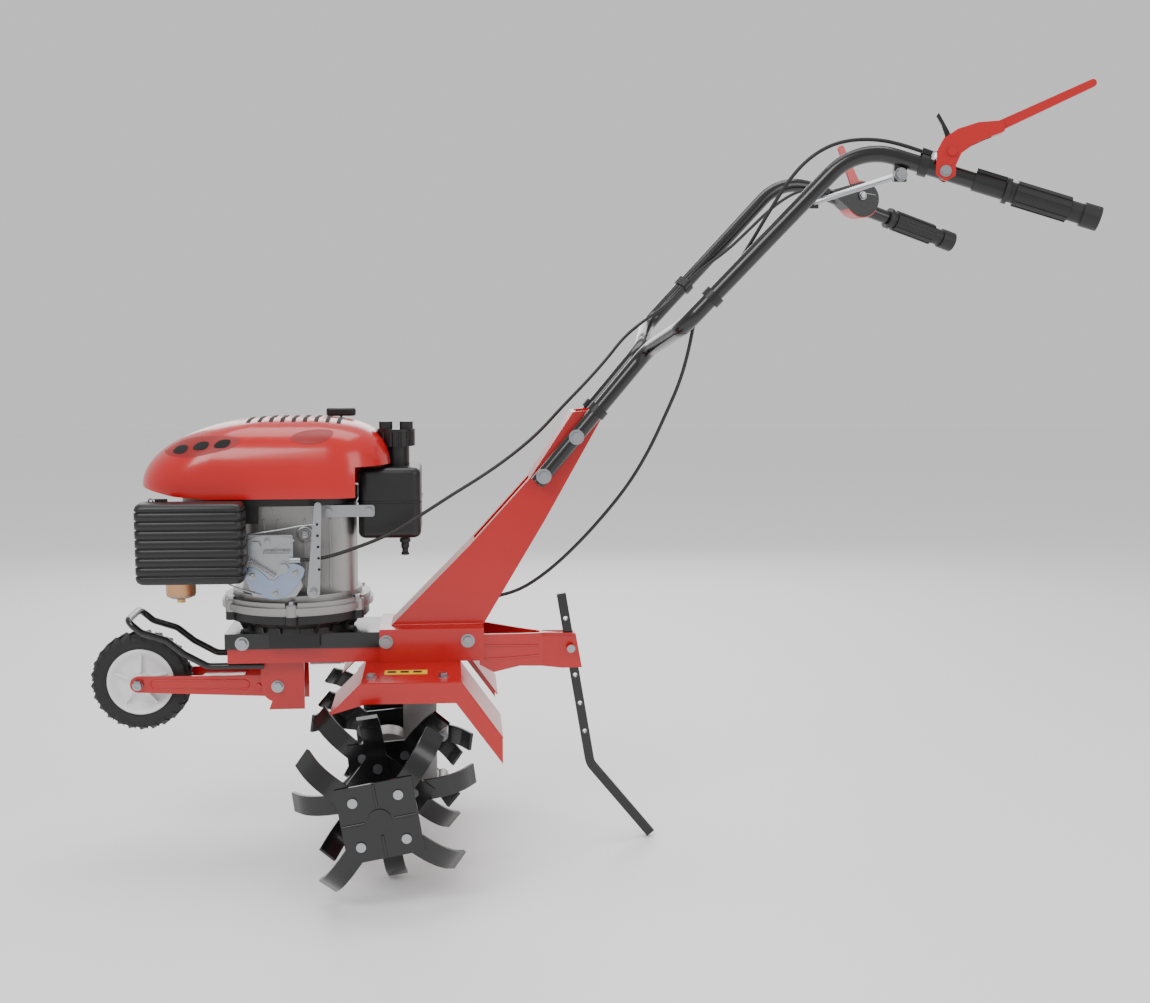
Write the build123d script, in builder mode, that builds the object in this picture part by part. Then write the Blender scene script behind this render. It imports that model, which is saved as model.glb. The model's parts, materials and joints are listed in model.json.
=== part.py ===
"""Walk-behind petrol tiller with a front transport wheel.

Frame of reference: X runs rearward to the grips, Y to the machine's right,
Z up from the ground. X = 0 is the tine axle, Y = 0 the centre plane.
All sizes are millimetres. "left" is the -Y side, which carries the clutch lever.
"""
import os
from math import atan, cos, degrees, pi, radians, sin, sqrt, tan

from build123d import *

os.makedirs("parts", exist_ok=True)

# ---------------------------------------------------------------- driving sizes
axle_z = 130.0  # height of the tine axle
tine_radius = 130.0  # tip circle of the tines
ring_y = (94.0, 194.0, 294.0)  # inner, middle and outer tine rings, each side
ring_phase_left = (50.0, 98.0, 55.0)  # first blade of each ring, degrees
ring_phase_right = (50.0, 82.0, 55.0)
fit = 0.05  # radial clearance of running fits
bolt_fit = 0.1  # radial clearance of bolt holes
steel = 3.0  # frame sheet

channel_half = 57.0  # half width of the frame channel, outside
channel_front = -227.0
channel_rear = 143.5
channel_low = 291.0
channel_top = 332.0
floor_plate = 4.0  # thickness of the plates inside the channel's mouth
front_floor_end = -112.0
gear_floor = (-32.0, 112.0)

cable_hole = (117.0, -20.0)  # clutch cable's way down into the channel
gear_bolts = [(0.0, -30.0), (0.0, 30.0), (90.0, -30.0), (90.0, 30.0)]

deck_low = 312.5  # lower edge of the engine deck's side flanges
frame_bolt_x = (-205.0, 1.5, 120.0)
frame_bolt_z = 321.0
frame_bolt_r = 4.0

saddle_front = -8.0
saddle_top = 339.0
column_half = 33.0
tube_r = 11.0
tube_wall = 2.0
tube_foot = (223.0, 549.0)  # lower end of the handlebar tubes, x and z
jog_low = (384.4, 741.8)
jog_high = (413.9, 204.0, 777.0)
bar_crest = (638.1, 237.6, 1014.2)
grip_end = (942.1, 303.2, 915.5)
grip_length = 126.8
post_bolt_s = (14.0, 88.0)  # bolt places along the tube from its foot

crank_x = -129.0
crank_r = 11.0
worm_x = 48.0  # distance from the axle to the worm shaft
input_r = 8.0
belt_z = 309.0
belt_width = 10.0
belt_depth = 8.0
belt_gap = 0.3
drive_belt_r = 22.0  # inside radius of the belt on the engine pulley
driven_belt_r = 34.0

wheel_centre = (-359.0, 257.5)
wheel_r = 73.0
wheel_half = 21.0
wheel_pivot = (-157.9, 252.3)
wheel_bolt_r = 4.0
lock_r = 28.0  # lock peg circle about the fold pivot

stake_top = (260.6, 378.3)
stake_bend = (304.5, 117.2)
stake_foot = (397.7, 4.4)
stake_wide = 14.0
stake_thick = 12.0
stake_hole_r = 3.3
stake_pitch = 44.0

# ---------------------------------------------------------------- shared helpers
deck_top = channel_top + steel
deck_half = channel_half + steel
saddle_half = deck_half + steel
tube_y = column_half + tube_r
pulley_half = belt_width / 2 + 3

idler_pivot = (-84.0, -6.0)
idler_at = (-42.0, 9.0)
idler_r = 11.0
idler_stud_r = 4.0
idler_pivot_r = 5.0
tail_at = (-62.0, -46.0)
arm_low = belt_z + pulley_half + 1
arm_high = arm_low + 4


def write(piece, name):
    """Label a finished piece and write its STEP file."""
    piece.part.label = name
    export_step(piece.part, f"parts/{name}.step")


def pull(outline, amount, mode=Mode.ADD, both=False):
    """Extrude a finished sketch into the open part."""
    extrude(outline.sketch, amount=amount, both=both, mode=mode)


def cross_holes(points, radius):
    """Holes right across the machine at (x, z) points, cut in the open part."""
    with BuildSketch(Plane.XZ) as holes:
        with Locations(*points):
            Circle(radius)
    pull(holes, 400, Mode.SUBTRACT, both=True)


def disc(plane, start, length, radius, mode=Mode.ADD):
    """A round step on a plane, from start, length long."""
    with BuildSketch(plane.offset(start)) as round_face:
        Circle(radius)
    pull(round_face, length, mode)


def hexagon(plane, start, length, radius):
    """A hexagonal step on a plane; radius is to the corners."""
    with BuildSketch(plane.offset(start)) as hex_face:
        RegularPolygon(radius, 6)
    pull(hex_face, length)


def hex_bolt(seat, radius, reach, washer, nut=0.0):
    """Hex bolt on a seat plane: washer and head outside, shank inward, nut at its end."""
    washer_thick = 0.4 * radius
    disc(seat, 0, washer_thick, washer)
    hexagon(seat, washer_thick, 1.6 * radius, 1.85 * radius)
    disc(seat, -reach, reach, radius)
    if nut > 0:
        hexagon(seat, -reach, nut, 1.85 * radius)


def side_seat(x, face, z, side):
    """Seat plane on a side face, facing outward."""
    return Plane(origin=(x, side * face, z), x_dir=(1, 0, 0), z_dir=(0, side, 0))


def level_seat(x, y, z):
    """Seat plane on a level face, facing up."""
    return Plane(origin=(x, y, z), x_dir=(1, 0, 0), z_dir=(0, 0, 1))


# ---------------------------------------------------------------- frame
bolt_points = [(x, frame_bolt_z) for x in frame_bolt_x]

with BuildPart() as frame_channel:
    with BuildSketch(Plane.YZ.offset(channel_front)):
        with Locations((0, (channel_low + channel_top) / 2)):
            Rectangle(2 * channel_half, channel_top - channel_low)
        with Locations((0, (channel_low + channel_top - steel) / 2)):
            Rectangle(2 * (channel_half - steel), channel_top - steel - channel_low, mode=Mode.SUBTRACT)
    extrude(amount=channel_rear - channel_front)
    for plate_front, plate_rear in ((channel_front, front_floor_end), gear_floor):
        with BuildSketch(Plane.XY.offset(channel_low)):
            with Locations(((plate_front + plate_rear) / 2, 0)):
                Rectangle(plate_rear - plate_front, 2 * channel_half)
        extrude(amount=floor_plate)
    cross_holes(bolt_points, frame_bolt_r + bolt_fit)
    with BuildSketch(Plane.XY.offset(channel_top - steel)):
        with Locations((crank_x, 0)):
            Circle(20)
        with Locations(cable_hole):
            Circle(9)
    extrude(amount=steel, mode=Mode.SUBTRACT)
    with BuildSketch(Plane.XY.offset(channel_low)):
        with Locations((worm_x, 0)):
            Circle(14)
        with Locations(*gear_bolts):
            Circle(3.1)
    extrude(amount=floor_plate, mode=Mode.SUBTRACT)
    idler_axis = Plane(origin=(*idler_pivot, 0), z_dir=(0, 0, 1))
    disc(idler_axis, arm_low - 4, channel_top - steel - arm_low + 4, idler_pivot_r)
    disc(idler_axis, arm_low - 4, 3.7, 8)
write(frame_channel, "frame_channel")

with BuildPart() as engine_deck:
    with BuildSketch(Plane.YZ.offset(channel_front - steel)):
        with Locations((0, (deck_low + deck_top) / 2)):
            Rectangle(2 * deck_half, deck_top - deck_low)
        with Locations((0, (deck_low + channel_top) / 2)):
            Rectangle(2 * channel_half, channel_top - deck_low, mode=Mode.SUBTRACT)
    extrude(amount=channel_rear - channel_front + steel)
    cross_holes(bolt_points, frame_bolt_r + bolt_fit)
    with BuildSketch(Plane.XY.offset(channel_top)):
        with Locations((crank_x, 0)):
            Circle(20)
        with Locations(cable_hole):
            Circle(9)
    extrude(amount=steel, mode=Mode.SUBTRACT)
write(engine_deck, "engine_deck")

# ---------------------------------------------------------------- handle post
tube_run = sqrt((jog_low[0] - tube_foot[0]) ** 2 + (jog_low[1] - tube_foot[1]) ** 2)
tube_dir = ((jog_low[0] - tube_foot[0]) / tube_run, (jog_low[1] - tube_foot[1]) / tube_run)
post_bolts = [(tube_foot[0] + s * tube_dir[0], tube_foot[1] + s * tube_dir[1]) for s in post_bolt_s]
post_front = [(8.0, saddle_top), (124.6, 457.3), (213.0, 555.3), (276.1, 651.7)]
post_rear = [(325.9, 656.4), (234.8, 493.1), (channel_rear, saddle_top)]
web = 4.5  # shift of the front web's inner face, along X

with BuildPart() as handle_post:
    with BuildSketch(Plane.YZ.offset(saddle_front)):
        with Locations((0, (channel_low + saddle_top) / 2)):
            Rectangle(2 * saddle_half, saddle_top - channel_low)
        with Locations((0, (channel_low + deck_top) / 2)):
            Rectangle(2 * deck_half, deck_top - channel_low, mode=Mode.SUBTRACT)
    extrude(amount=channel_rear - saddle_front)
    with BuildSketch(Plane.XZ):
        with BuildLine():
            Polyline(*post_front, *post_rear, close=True)
        make_face()
    extrude(amount=column_half, both=True)
    with BuildSketch(Plane.XZ):
        with BuildLine():
            Polyline(
                *[(x + web, z) for x, z in post_front],
                (post_front[-1][0] + 14, 680),
                (400, 680),
                (400, saddle_top),
                close=True,
            )
        make_face()
    extrude(amount=column_half - steel, both=True, mode=Mode.SUBTRACT)
    with BuildSketch(Plane.XZ):
        with BuildLine():
            Polyline((120, 474), (140, 456), (222, 546), (202, 564), close=True)
        make_face()
    extrude(amount=16, both=True, mode=Mode.SUBTRACT)
    cross_holes(post_bolts + bolt_points[1:], frame_bolt_r + bolt_fit)
    with BuildSketch(Plane.XY.offset(deck_top)):
        with Locations(cable_hole):
            Circle(9)
    extrude(amount=saddle_top - deck_top, mode=Mode.SUBTRACT)
write(handle_post, "handle_post")

# ---------------------------------------------------------------- depth stake and its hitch
stake_run = sqrt((stake_bend[0] - stake_top[0]) ** 2 + (stake_bend[1] - stake_top[1]) ** 2)
stake_dir = ((stake_bend[0] - stake_top[0]) / stake_run, (stake_bend[1] - stake_top[1]) / stake_run)


def on_stake(distance):
    """Point on the stake's straight, measured down from its top."""
    return (stake_top[0] + distance * stake_dir[0], stake_top[1] + distance * stake_dir[1])


stake_holes = [on_stake(38 + stake_pitch * step) for step in range(5)]
pin_point = stake_holes[1]

with BuildPart() as depth_stake:
    with BuildSketch(Plane.XZ):
        with BuildLine():
            FilletPolyline(stake_top, stake_bend, stake_foot, radius=26)
        trace(line_width=stake_wide)
    extrude(amount=stake_thick / 2, both=True)
    fillet(depth_stake.edges().filter_by(Axis.Y, reverse=True).group_by(Axis.Y)[0], 1.5)
    fillet(depth_stake.edges().filter_by(Axis.Y, reverse=True).group_by(Axis.Y)[-1], 1.5)
    cross_holes(stake_holes, stake_hole_r)
write(depth_stake, "depth_stake")

stake_section = Plane(
    origin=(stake_top[0], 0, stake_top[1]),
    x_dir=(0, 1, 0),
    z_dir=(stake_dir[0], 0, stake_dir[1]),
)
stake_gap = 0.35
socket_wall = 3.2
socket_half = stake_thick / 2 + stake_gap + socket_wall
hitch_y = channel_half - steel  # outer face of the hitch plates inside the channel

with BuildPart() as hitch_bracket:
    with BuildSketch(Plane.XY.offset(250)):
        with BuildLine():
            Polyline(
                (92, hitch_y),
                (137, hitch_y),
                (232, socket_half),
                (294, socket_half),
                (294, 0),
                (228, 0),
                (228, socket_half - 3.2),
                (135, hitch_y - 3.2),
                (92, hitch_y - 3.2),
                close=True,
            )
        make_face()
        mirror(about=Plane.XZ)
    extrude(amount=80)
    with BuildSketch(Plane.XZ):
        with BuildLine():
            Polyline(
                (92, 296.5),
                (137, 296.5),
                (137, 283),
                (158, 269),
                (197, 274),
                (262, 266),
                (291.5, 266.5),
                (282, 318.5),
                (256, 318.5),
                (197, 322.5),
                (144, 327.5),
                (92, 327.5),
                close=True,
            )
        make_face()
    extrude(amount=100, both=True, mode=Mode.INTERSECT)
    with BuildSketch(stake_section):
        Rectangle(stake_thick + 2 * stake_gap, stake_wide + 2 * stake_gap)
    extrude(amount=160, mode=Mode.SUBTRACT)
    cross_holes([bolt_points[2]], frame_bolt_r + bolt_fit)
    cross_holes([pin_point], 3.1)
write(hitch_bracket, "hitch_bracket")

# ---------------------------------------------------------------- front bracket, bumper
bracket_in = 35.5
bracket_out = 38.5
peg_r = 4.0
arm_y = (31.0, 34.0)


def about_pivot(radius, angle):
    """Point at a radius and angle from the wheel's fold pivot."""
    return (wheel_pivot[0] + radius * cos(radians(angle)), wheel_pivot[1] + radius * sin(radians(angle)))


with BuildPart() as front_bracket:
    with BuildSketch(Plane.XZ):
        with BuildLine():
            Polyline((-182, channel_low), (-119, channel_low), (-119, 218), (-181, 218), close=True)
        make_face()
        with BuildLine():
            Polyline(
                wheel_pivot,
                about_pivot(80, 170),
                about_pivot(80, 210),
                about_pivot(80, 249),
                close=True,
            )
        make_face(mode=Mode.SUBTRACT)
        with Locations(wheel_pivot):
            Circle(lock_r - peg_r - 0.5)
    extrude(amount=bracket_out, both=True)
    with BuildSketch(Plane.XZ):
        with Locations((-150, 250)):
            Rectangle(120, 76)
    extrude(amount=bracket_in, both=True, mode=Mode.SUBTRACT)
    cross_holes([wheel_pivot], wheel_bolt_r + bolt_fit)
write(front_bracket, "front_bracket")

bumper_r = 5.0
bumper_y = 48.0
bumper_side = [(-176, 286), (-256, 286), (-290, 305), (-315, 325.5), (-350, 337), (-369, 354)]
with BuildPart() as bumper:
    with BuildLine() as bumper_line:
        FilletPolyline(
            *[(x, -bumper_y, z) for x, z in bumper_side],
            *[(x, bumper_y, z) for x, z in reversed(bumper_side)],
            radius=[20, 20, 20, 20, 13, 13, 20, 20, 20, 20],
        )
    with BuildSketch(Plane(origin=bumper_line.line @ 0, z_dir=bumper_line.line % 0)):
        Circle(bumper_r)
    sweep()
write(bumper, "bumper")

# ---------------------------------------------------------------- transport wheel
arm_plan = [(wheel_centre, 12.0), (wheel_pivot, 16.0)]
with BuildPart() as wheel_arms:
    for side in (-1, 1):
        with BuildSketch(Plane.XZ.offset(-side * arm_y[0])):
            for centre, radius in arm_plan:
                with Locations(centre):
                    Circle(radius)
            make_hull()
            with Locations(wheel_centre):
                Circle(wheel_bolt_r, mode=Mode.SUBTRACT)
            with Locations(wheel_pivot):
                Circle(wheel_bolt_r + fit, mode=Mode.SUBTRACT)
        extrude(amount=-side * (arm_y[1] - arm_y[0]))
        with BuildSketch(Plane.XZ.offset(-side * arm_y[1])):
            with Locations(about_pivot(lock_r, 180)):
                Circle(peg_r)
        extrude(amount=-side * 4.5)
    with BuildSketch(Plane.XY.offset(260)):
        with Locations((-240, 0)):
            Rectangle(60, 2 * arm_y[0])
    extrude(amount=3)
write(wheel_arms, "wheel_arms")

with BuildPart() as wheel_axle:
    across = Plane(origin=(wheel_centre[0], 0, wheel_centre[1]), x_dir=(1, 0, 0), z_dir=(0, -1, 0))
    with BuildSketch(across):
        Circle(wheel_bolt_r)
    extrude(amount=arm_y[1] + 1, both=True)
    for side in (-1, 1):
        with BuildSketch(across.offset(-side * arm_y[1])):
            RegularPolygon(8, 6)
        extrude(amount=-side * 6)
write(wheel_axle, "wheel_axle")

rim_r = 47.0
with BuildPart() as wheel_rim:
    for half, outer, inner in ((28, 13, 0), (5, 41, 12), (17, rim_r, 39)):
        with BuildSketch(across):
            Circle(outer)
            if inner > 0:
                Circle(inner, mode=Mode.SUBTRACT)
        extrude(amount=half, both=True)
    with BuildSketch(across):
        Circle(wheel_bolt_r + fit)
    extrude(amount=40, both=True, mode=Mode.SUBTRACT)
write(wheel_rim, "wheel_rim")

with BuildPart() as tyre:
    with BuildSketch(across):
        Circle(wheel_r)
        Circle(rim_r, mode=Mode.SUBTRACT)
    extrude(amount=wheel_half, both=True)
    fillet(tyre.edges().filter_by(GeomType.CIRCLE).sort_by(SortBy.RADIUS)[-2:], 9)
write(tyre, "tyre")

# ---------------------------------------------------------------- fenders
fender_line = [(-70.5, 247.5), (-27.6, channel_low - 1), (108.9, channel_low - 1), (166.2, 210.1)]
lip_low = [(166.2, 173.5), (101.8, 261), (-21.3, 261.5), (-70.5, 247.5)]
fender_sheet = 1.8
fender_in = 44.0
fender_out = 194.0
fender_bolts = [(-15.6, 163.0), (84.1, 163.0)]

for side, name in ((-1, "fender_left"), (1, "fender_right")):
    with BuildPart() as fender:
        with BuildSketch(Plane.XZ):
            with BuildLine():
                Polyline(*fender_line)
            trace(line_width=fender_sheet)
        extrude(amount=-side * fender_out)
        with BuildSketch(Plane.XY.offset(150)):
            with Locations((40, side * fender_in / 2)):
                Rectangle(300, fender_in)
            for x in (-90, 160):
                with Locations((x, side * 30)):
                    Rectangle(100, 64)
        extrude(amount=200, mode=Mode.SUBTRACT)
        with BuildSketch(Plane.XY.offset(250)):
            with Locations(*[(x, side * y) for x, y in fender_bolts]):
                Circle(3.1)
        extrude(amount=60, mode=Mode.SUBTRACT)
    write(fender, name)

with BuildPart() as fender_lips:
    for side in (-1, 1):
        with BuildSketch(Plane.XZ.offset(-side * fender_out)):
            with BuildLine():
                Polyline(*fender_line, *lip_low[:-1], close=True)
            make_face()
        extrude(amount=-side * fender_sheet)
write(fender_lips, "fender_lips")

# ---------------------------------------------------------------- tines
axle_r = 10.0
hub_r = 16.0
plate_side = 103.0
plate_thick = 4.0
blade_wide = 28.0
blade_thick = 5.0
blade_root = 27.0  # inner end of each blade, from the axle
blade_straight = 66.0  # where the sideways curve starts
blade_curve_r = 60.0
blade_curve = 58.0  # degrees of sideways curve
blade_bolt_r = 3.0
blade_bolt_at = 43.0
ring_bends = ((1, -1, 1, -1), (1, -1, -1, -1), (-1, -1, -1, -1))  # 1 outward, -1 inward
inner_hub = (46.0, 203.0)
outer_hub = (205.0, 300.0)
curve_end = blade_straight + blade_curve_r * sin(radians(blade_curve))
tip_reach = sqrt(tine_radius ** 2 - (blade_wide / 2) ** 2)
tip_slope = cos(radians(blade_curve))
tip_corner = blade_thick / 2 * sin(radians(blade_curve))
tip_run = (tip_reach - tip_corner - curve_end) / tip_slope


def ring_set():
    """Every ring: side, distance from the centre, blade angles and bends."""
    for side, phases in ((-1, ring_phase_left), (1, ring_phase_right)):
        for distance, phase, bends in zip(ring_y, phases, ring_bends):
            yield side, distance, [phase + 90 * step for step in range(4)], bends


with BuildPart() as tine_axle:
    with BuildSketch(Plane.XZ):
        with Locations((0, axle_z)):
            Circle(axle_r)
    extrude(amount=outer_hub[1] - 12, both=True)
write(tine_axle, "tine_axle")

with BuildPart() as inner_hubs:
    for side in (-1, 1):
        seat = side_seat(0, inner_hub[0], axle_z, side)
        disc(seat, 0, inner_hub[1] - inner_hub[0], hub_r)
    for side, distance, angles, bends in ring_set():
        if distance < outer_hub[0]:
            with BuildSketch(side_seat(0, distance, axle_z, side)) as plate:
                Rectangle(plate_side, plate_side, rotation=side * -(angles[0] - 45))
            pull(plate, plate_thick)
            for angle in angles:
                bolt_x = blade_bolt_at * cos(radians(angle))
                bolt_z = axle_z + blade_bolt_at * sin(radians(angle))
                disc(side_seat(bolt_x, distance, bolt_z, side), 0, plate_thick, blade_bolt_r, Mode.SUBTRACT)
    with BuildSketch(Plane.XZ) as bore:
        with Locations((0, axle_z)):
            Circle(axle_r)
    pull(bore, 400, Mode.SUBTRACT, both=True)
write(inner_hubs, "inner_hubs")

with BuildPart() as outer_hubs:
    for side in (-1, 1):
        seat = side_seat(0, outer_hub[0], axle_z, side)
        disc(seat, 0, outer_hub[1] - outer_hub[0], hub_r)
    for side, distance, angles, bends in ring_set():
        if distance > outer_hub[0]:
            with BuildSketch(side_seat(0, distance, axle_z, side)) as plate:
                Rectangle(plate_side, plate_side, rotation=side * -(angles[0] - 45))
            pull(plate, plate_thick)
            for angle in angles:
                bolt_x = blade_bolt_at * cos(radians(angle))
                bolt_z = axle_z + blade_bolt_at * sin(radians(angle))
                disc(side_seat(bolt_x, distance, bolt_z, side), 0, plate_thick, blade_bolt_r, Mode.SUBTRACT)
    with BuildSketch(Plane.XZ) as bore:
        with Locations((0, axle_z)):
            Circle(axle_r)
    pull(bore, outer_hub[1] - 12, Mode.SUBTRACT, both=True)
write(outer_hubs, "outer_hubs")

with BuildPart() as tine_blades:
    for side, distance, angles, bends in ring_set():
        for angle, bend in zip(angles, bends):
            outward = side * bend
            face = distance + (plate_thick + blade_thick / 2 if bend > 0 else -blade_thick / 2)
            radial = (cos(radians(angle)), 0, sin(radians(angle)))
            normal = (-outward * radial[2], 0, outward * radial[0])
            blade_plane = Plane(origin=(0, side * face, axle_z), x_dir=radial, z_dir=normal)
            with BuildSketch(blade_plane) as blade:
                with BuildLine():
                    Line((blade_root, 0), (blade_straight, 0))
                    bow = TangentArc(
                        (blade_straight, 0),
                        (curve_end, blade_curve_r * (1 - tip_slope)),
                        tangent=(1, 0),
                    )
                    Line(bow @ 1, bow @ 1 + tip_run * (bow % 1))
                trace(line_width=blade_thick)
            pull(blade, blade_wide / 2, both=True)
            bolt_x = blade_bolt_at * radial[0]
            bolt_z = axle_z + blade_bolt_at * radial[2]
            bolt_seat = side_seat(bolt_x, face, bolt_z, side)
            disc(bolt_seat, -blade_thick, 2 * blade_thick, blade_bolt_r, Mode.SUBTRACT)
write(tine_blades, "tine_blades")

with BuildPart() as tine_bolts:
    for side, distance, angles, bends in ring_set():
        for angle, bend in zip(angles, bends):
            bolt_x = blade_bolt_at * cos(radians(angle))
            bolt_z = axle_z + blade_bolt_at * sin(radians(angle))
            outer_face = distance + plate_thick + (blade_thick if bend > 0 else 0)
            seat = side_seat(bolt_x, outer_face, bolt_z, side)
            disc(seat, 0, 3, 6.5)
            disc(seat, -plate_thick - blade_thick, plate_thick + blade_thick, blade_bolt_r)
            hexagon(seat, -plate_thick - blade_thick - 4, 4, 5.5)
write(tine_bolts, "tine_bolts")

# ---------------------------------------------------------------- worm gearbox
worm_teeth = 30
wheel_pitch_r = 35.0
tooth_add = 1.9
root_gap = 0.5
lead = 2 * pi * wheel_pitch_r / worm_teeth
worm_pitch_r = worm_x - wheel_pitch_r
worm_crest = worm_pitch_r + tooth_add
wheel_crest = wheel_pitch_r + tooth_add
worm_root = worm_x - wheel_crest - root_gap
wheel_root = worm_x - worm_crest - root_gap
lead_angle = degrees(atan(lead / (2 * pi * worm_pitch_r)))
tooth_thick = lead * 0.29
worm_half = 17.0
wheel_width = 12.0
case_half = 26.0
worm_bore = worm_crest + 1.0
bearing_width = 9.0
bearing_low = 96.0
bearing_high = 258.0
case_top = channel_low
case_bottom = 84.0
seat_r = 19.0
case_bolts = [(-35, 179), (81, 170), (81, 96), (17, 262), (79, 262)]

with BuildPart() as worm_wheel:
    with BuildSketch(Plane.XZ) as blank:
        with Locations((0, axle_z)):
            Circle(wheel_root)
            Circle(axle_r, mode=Mode.SUBTRACT)
    pull(blank, wheel_width / 2, both=True)
    for tooth in range(worm_teeth):
        turn = 360 / worm_teeth * (tooth + 0.5)
        across_x = -sin(radians(lead_angle)) * sin(radians(turn))
        across_z = sin(radians(lead_angle)) * cos(radians(turn))
        tooth_plane = Plane(
            origin=(0, 0, axle_z),
            x_dir=(cos(radians(turn)), 0, sin(radians(turn))),
            z_dir=(across_x, -cos(radians(lead_angle)), across_z),
        )
        with BuildSketch(tooth_plane) as tooth_face:
            with BuildLine():
                Polyline(
                    (wheel_root - 2, -tooth_thick * 0.6),
                    (wheel_crest, -tooth_thick * 0.36),
                    (wheel_crest, tooth_thick * 0.36),
                    (wheel_root - 2, tooth_thick * 0.6),
                    close=True,
                )
            make_face()
        pull(tooth_face, wheel_width / 2 - 0.5, both=True)
write(worm_wheel, "worm_wheel")

with BuildPart() as worm_shaft:
    worm_axis = Plane(origin=(worm_x, 0, 0), z_dir=(0, 0, 1))
    disc(worm_axis, bearing_low - 2, belt_z + 11 - bearing_low, input_r)
    disc(worm_axis, axle_z - worm_half - 3, 2 * worm_half + 6, worm_root)
    with BuildLine() as thread_line:
        Helix(lead, 2 * worm_half, worm_root, center=(worm_x, 0, axle_z - worm_half))
    thread_start = thread_line.line @ 0
    with BuildSketch(Plane(origin=thread_start, x_dir=(1, 0, 0), z_dir=(0, -1, 0))) as thread_face:
        with BuildLine():
            Polyline(
                (-0.4, -tooth_thick * 0.6),
                (worm_crest - worm_root, -tooth_thick * 0.36),
                (worm_crest - worm_root, tooth_thick * 0.36),
                (-0.4, tooth_thick * 0.6),
                close=True,
            )
        make_face()
    sweep(thread_face.sketch, path=thread_line.line, is_frenet=True)
write(worm_shaft, "worm_shaft")

for side, name in ((-1, "gearbox_left"), (1, "gearbox_right")):
    with BuildPart() as gearbox:
        with BuildSketch(Plane.XZ) as outline:
            with Locations((0, axle_z)):
                Circle(wheel_crest + 8)
            with BuildLine():
                Polyline(
                    (worm_x - 24, 150),
                    (worm_x - 24, 240),
                    (worm_x - 24, case_top),
                    (worm_x + 25, case_top),
                    (worm_x + 25, case_bottom),
                    (worm_x - 24, case_bottom),
                    close=True,
                )
            make_face()
            for x, z in case_bolts:
                with Locations((x, z)):
                    Circle(9)
            with Locations((-20, 165), (66, 170), (66, 96), (66, 262), (30, 262)):
                Rectangle(30, 14)
        pull(outline, -side * case_half)
        with BuildSketch(Plane.XY.offset(case_top)) as flange:
            with Locations((worm_x - 3, side * 19)):
                Rectangle(110, 38)
            with Locations(*gear_bolts):
                Circle(3.1, mode=Mode.SUBTRACT)
        pull(flange, -8)
        wheel_seat = side_seat(0, 0, axle_z, side)
        disc(wheel_seat, -1, wheel_width / 2 + 3, wheel_crest + 2, Mode.SUBTRACT)
        disc(wheel_seat, 0, case_half + 1, seat_r, Mode.SUBTRACT)
        worm_axis = Plane(origin=(worm_x, 0, 0), z_dir=(0, 0, 1))
        bore_length = bearing_high + bearing_width - bearing_low + 3
        disc(worm_axis, bearing_low - 3, bore_length, worm_bore, Mode.SUBTRACT)
        disc(worm_axis, bearing_high, 60, input_r + 1, Mode.SUBTRACT)
        with BuildSketch(Plane.XZ) as bolt_bores:
            with Locations(*case_bolts):
                Circle(3.1)
        pull(bolt_bores, 80, Mode.SUBTRACT, both=True)
    write(gearbox, name)

with BuildPart() as shaft_bearings:
    for height in (bearing_low, bearing_high):
        worm_axis = Plane(origin=(worm_x, 0, height), z_dir=(0, 0, 1))
        disc(worm_axis, 0, bearing_width, worm_bore)
        disc(worm_axis, 0, bearing_width, input_r + fit, Mode.SUBTRACT)
    for side in (-1, 1):
        wheel_seat = side_seat(0, wheel_width / 2 + 4, axle_z, side)
        disc(wheel_seat, 0, 13, seat_r)
        disc(wheel_seat, 0, 13, axle_r + fit, Mode.SUBTRACT)
write(shaft_bearings, "shaft_bearings")

# ---------------------------------------------------------------- belt drive and idler


def pulley(x, belt_r, bore):
    """Grooved belt pulley on an upright shaft; belt_r is the belt's inside radius."""
    axis = Plane(origin=(x, 0, belt_z), z_dir=(0, 0, 1))
    disc(axis, -pulley_half, 2 * pulley_half, belt_r - belt_gap)
    for low in (-pulley_half, belt_width / 2 + belt_gap):
        disc(axis, low, 3 - belt_gap, belt_r + belt_depth + 1)
    disc(axis, -20, 40, bore, Mode.SUBTRACT)


with BuildPart() as drive_pulley:
    pulley(crank_x, drive_belt_r, crank_r)
write(drive_pulley, "drive_pulley")

with BuildPart() as driven_pulley:
    pulley(worm_x, driven_belt_r, input_r)
write(driven_pulley, "driven_pulley")

with BuildPart() as v_belt:
    for grow, mode in ((belt_depth, Mode.ADD), (0, Mode.SUBTRACT)):
        with BuildSketch(Plane.XY.offset(belt_z - belt_width / 2)) as loop:
            with Locations((crank_x, 0)):
                Circle(drive_belt_r + grow)
            with Locations((worm_x, 0)):
                Circle(driven_belt_r + grow)
            make_hull()
        pull(loop, belt_width, mode)
write(v_belt, "v_belt")

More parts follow.
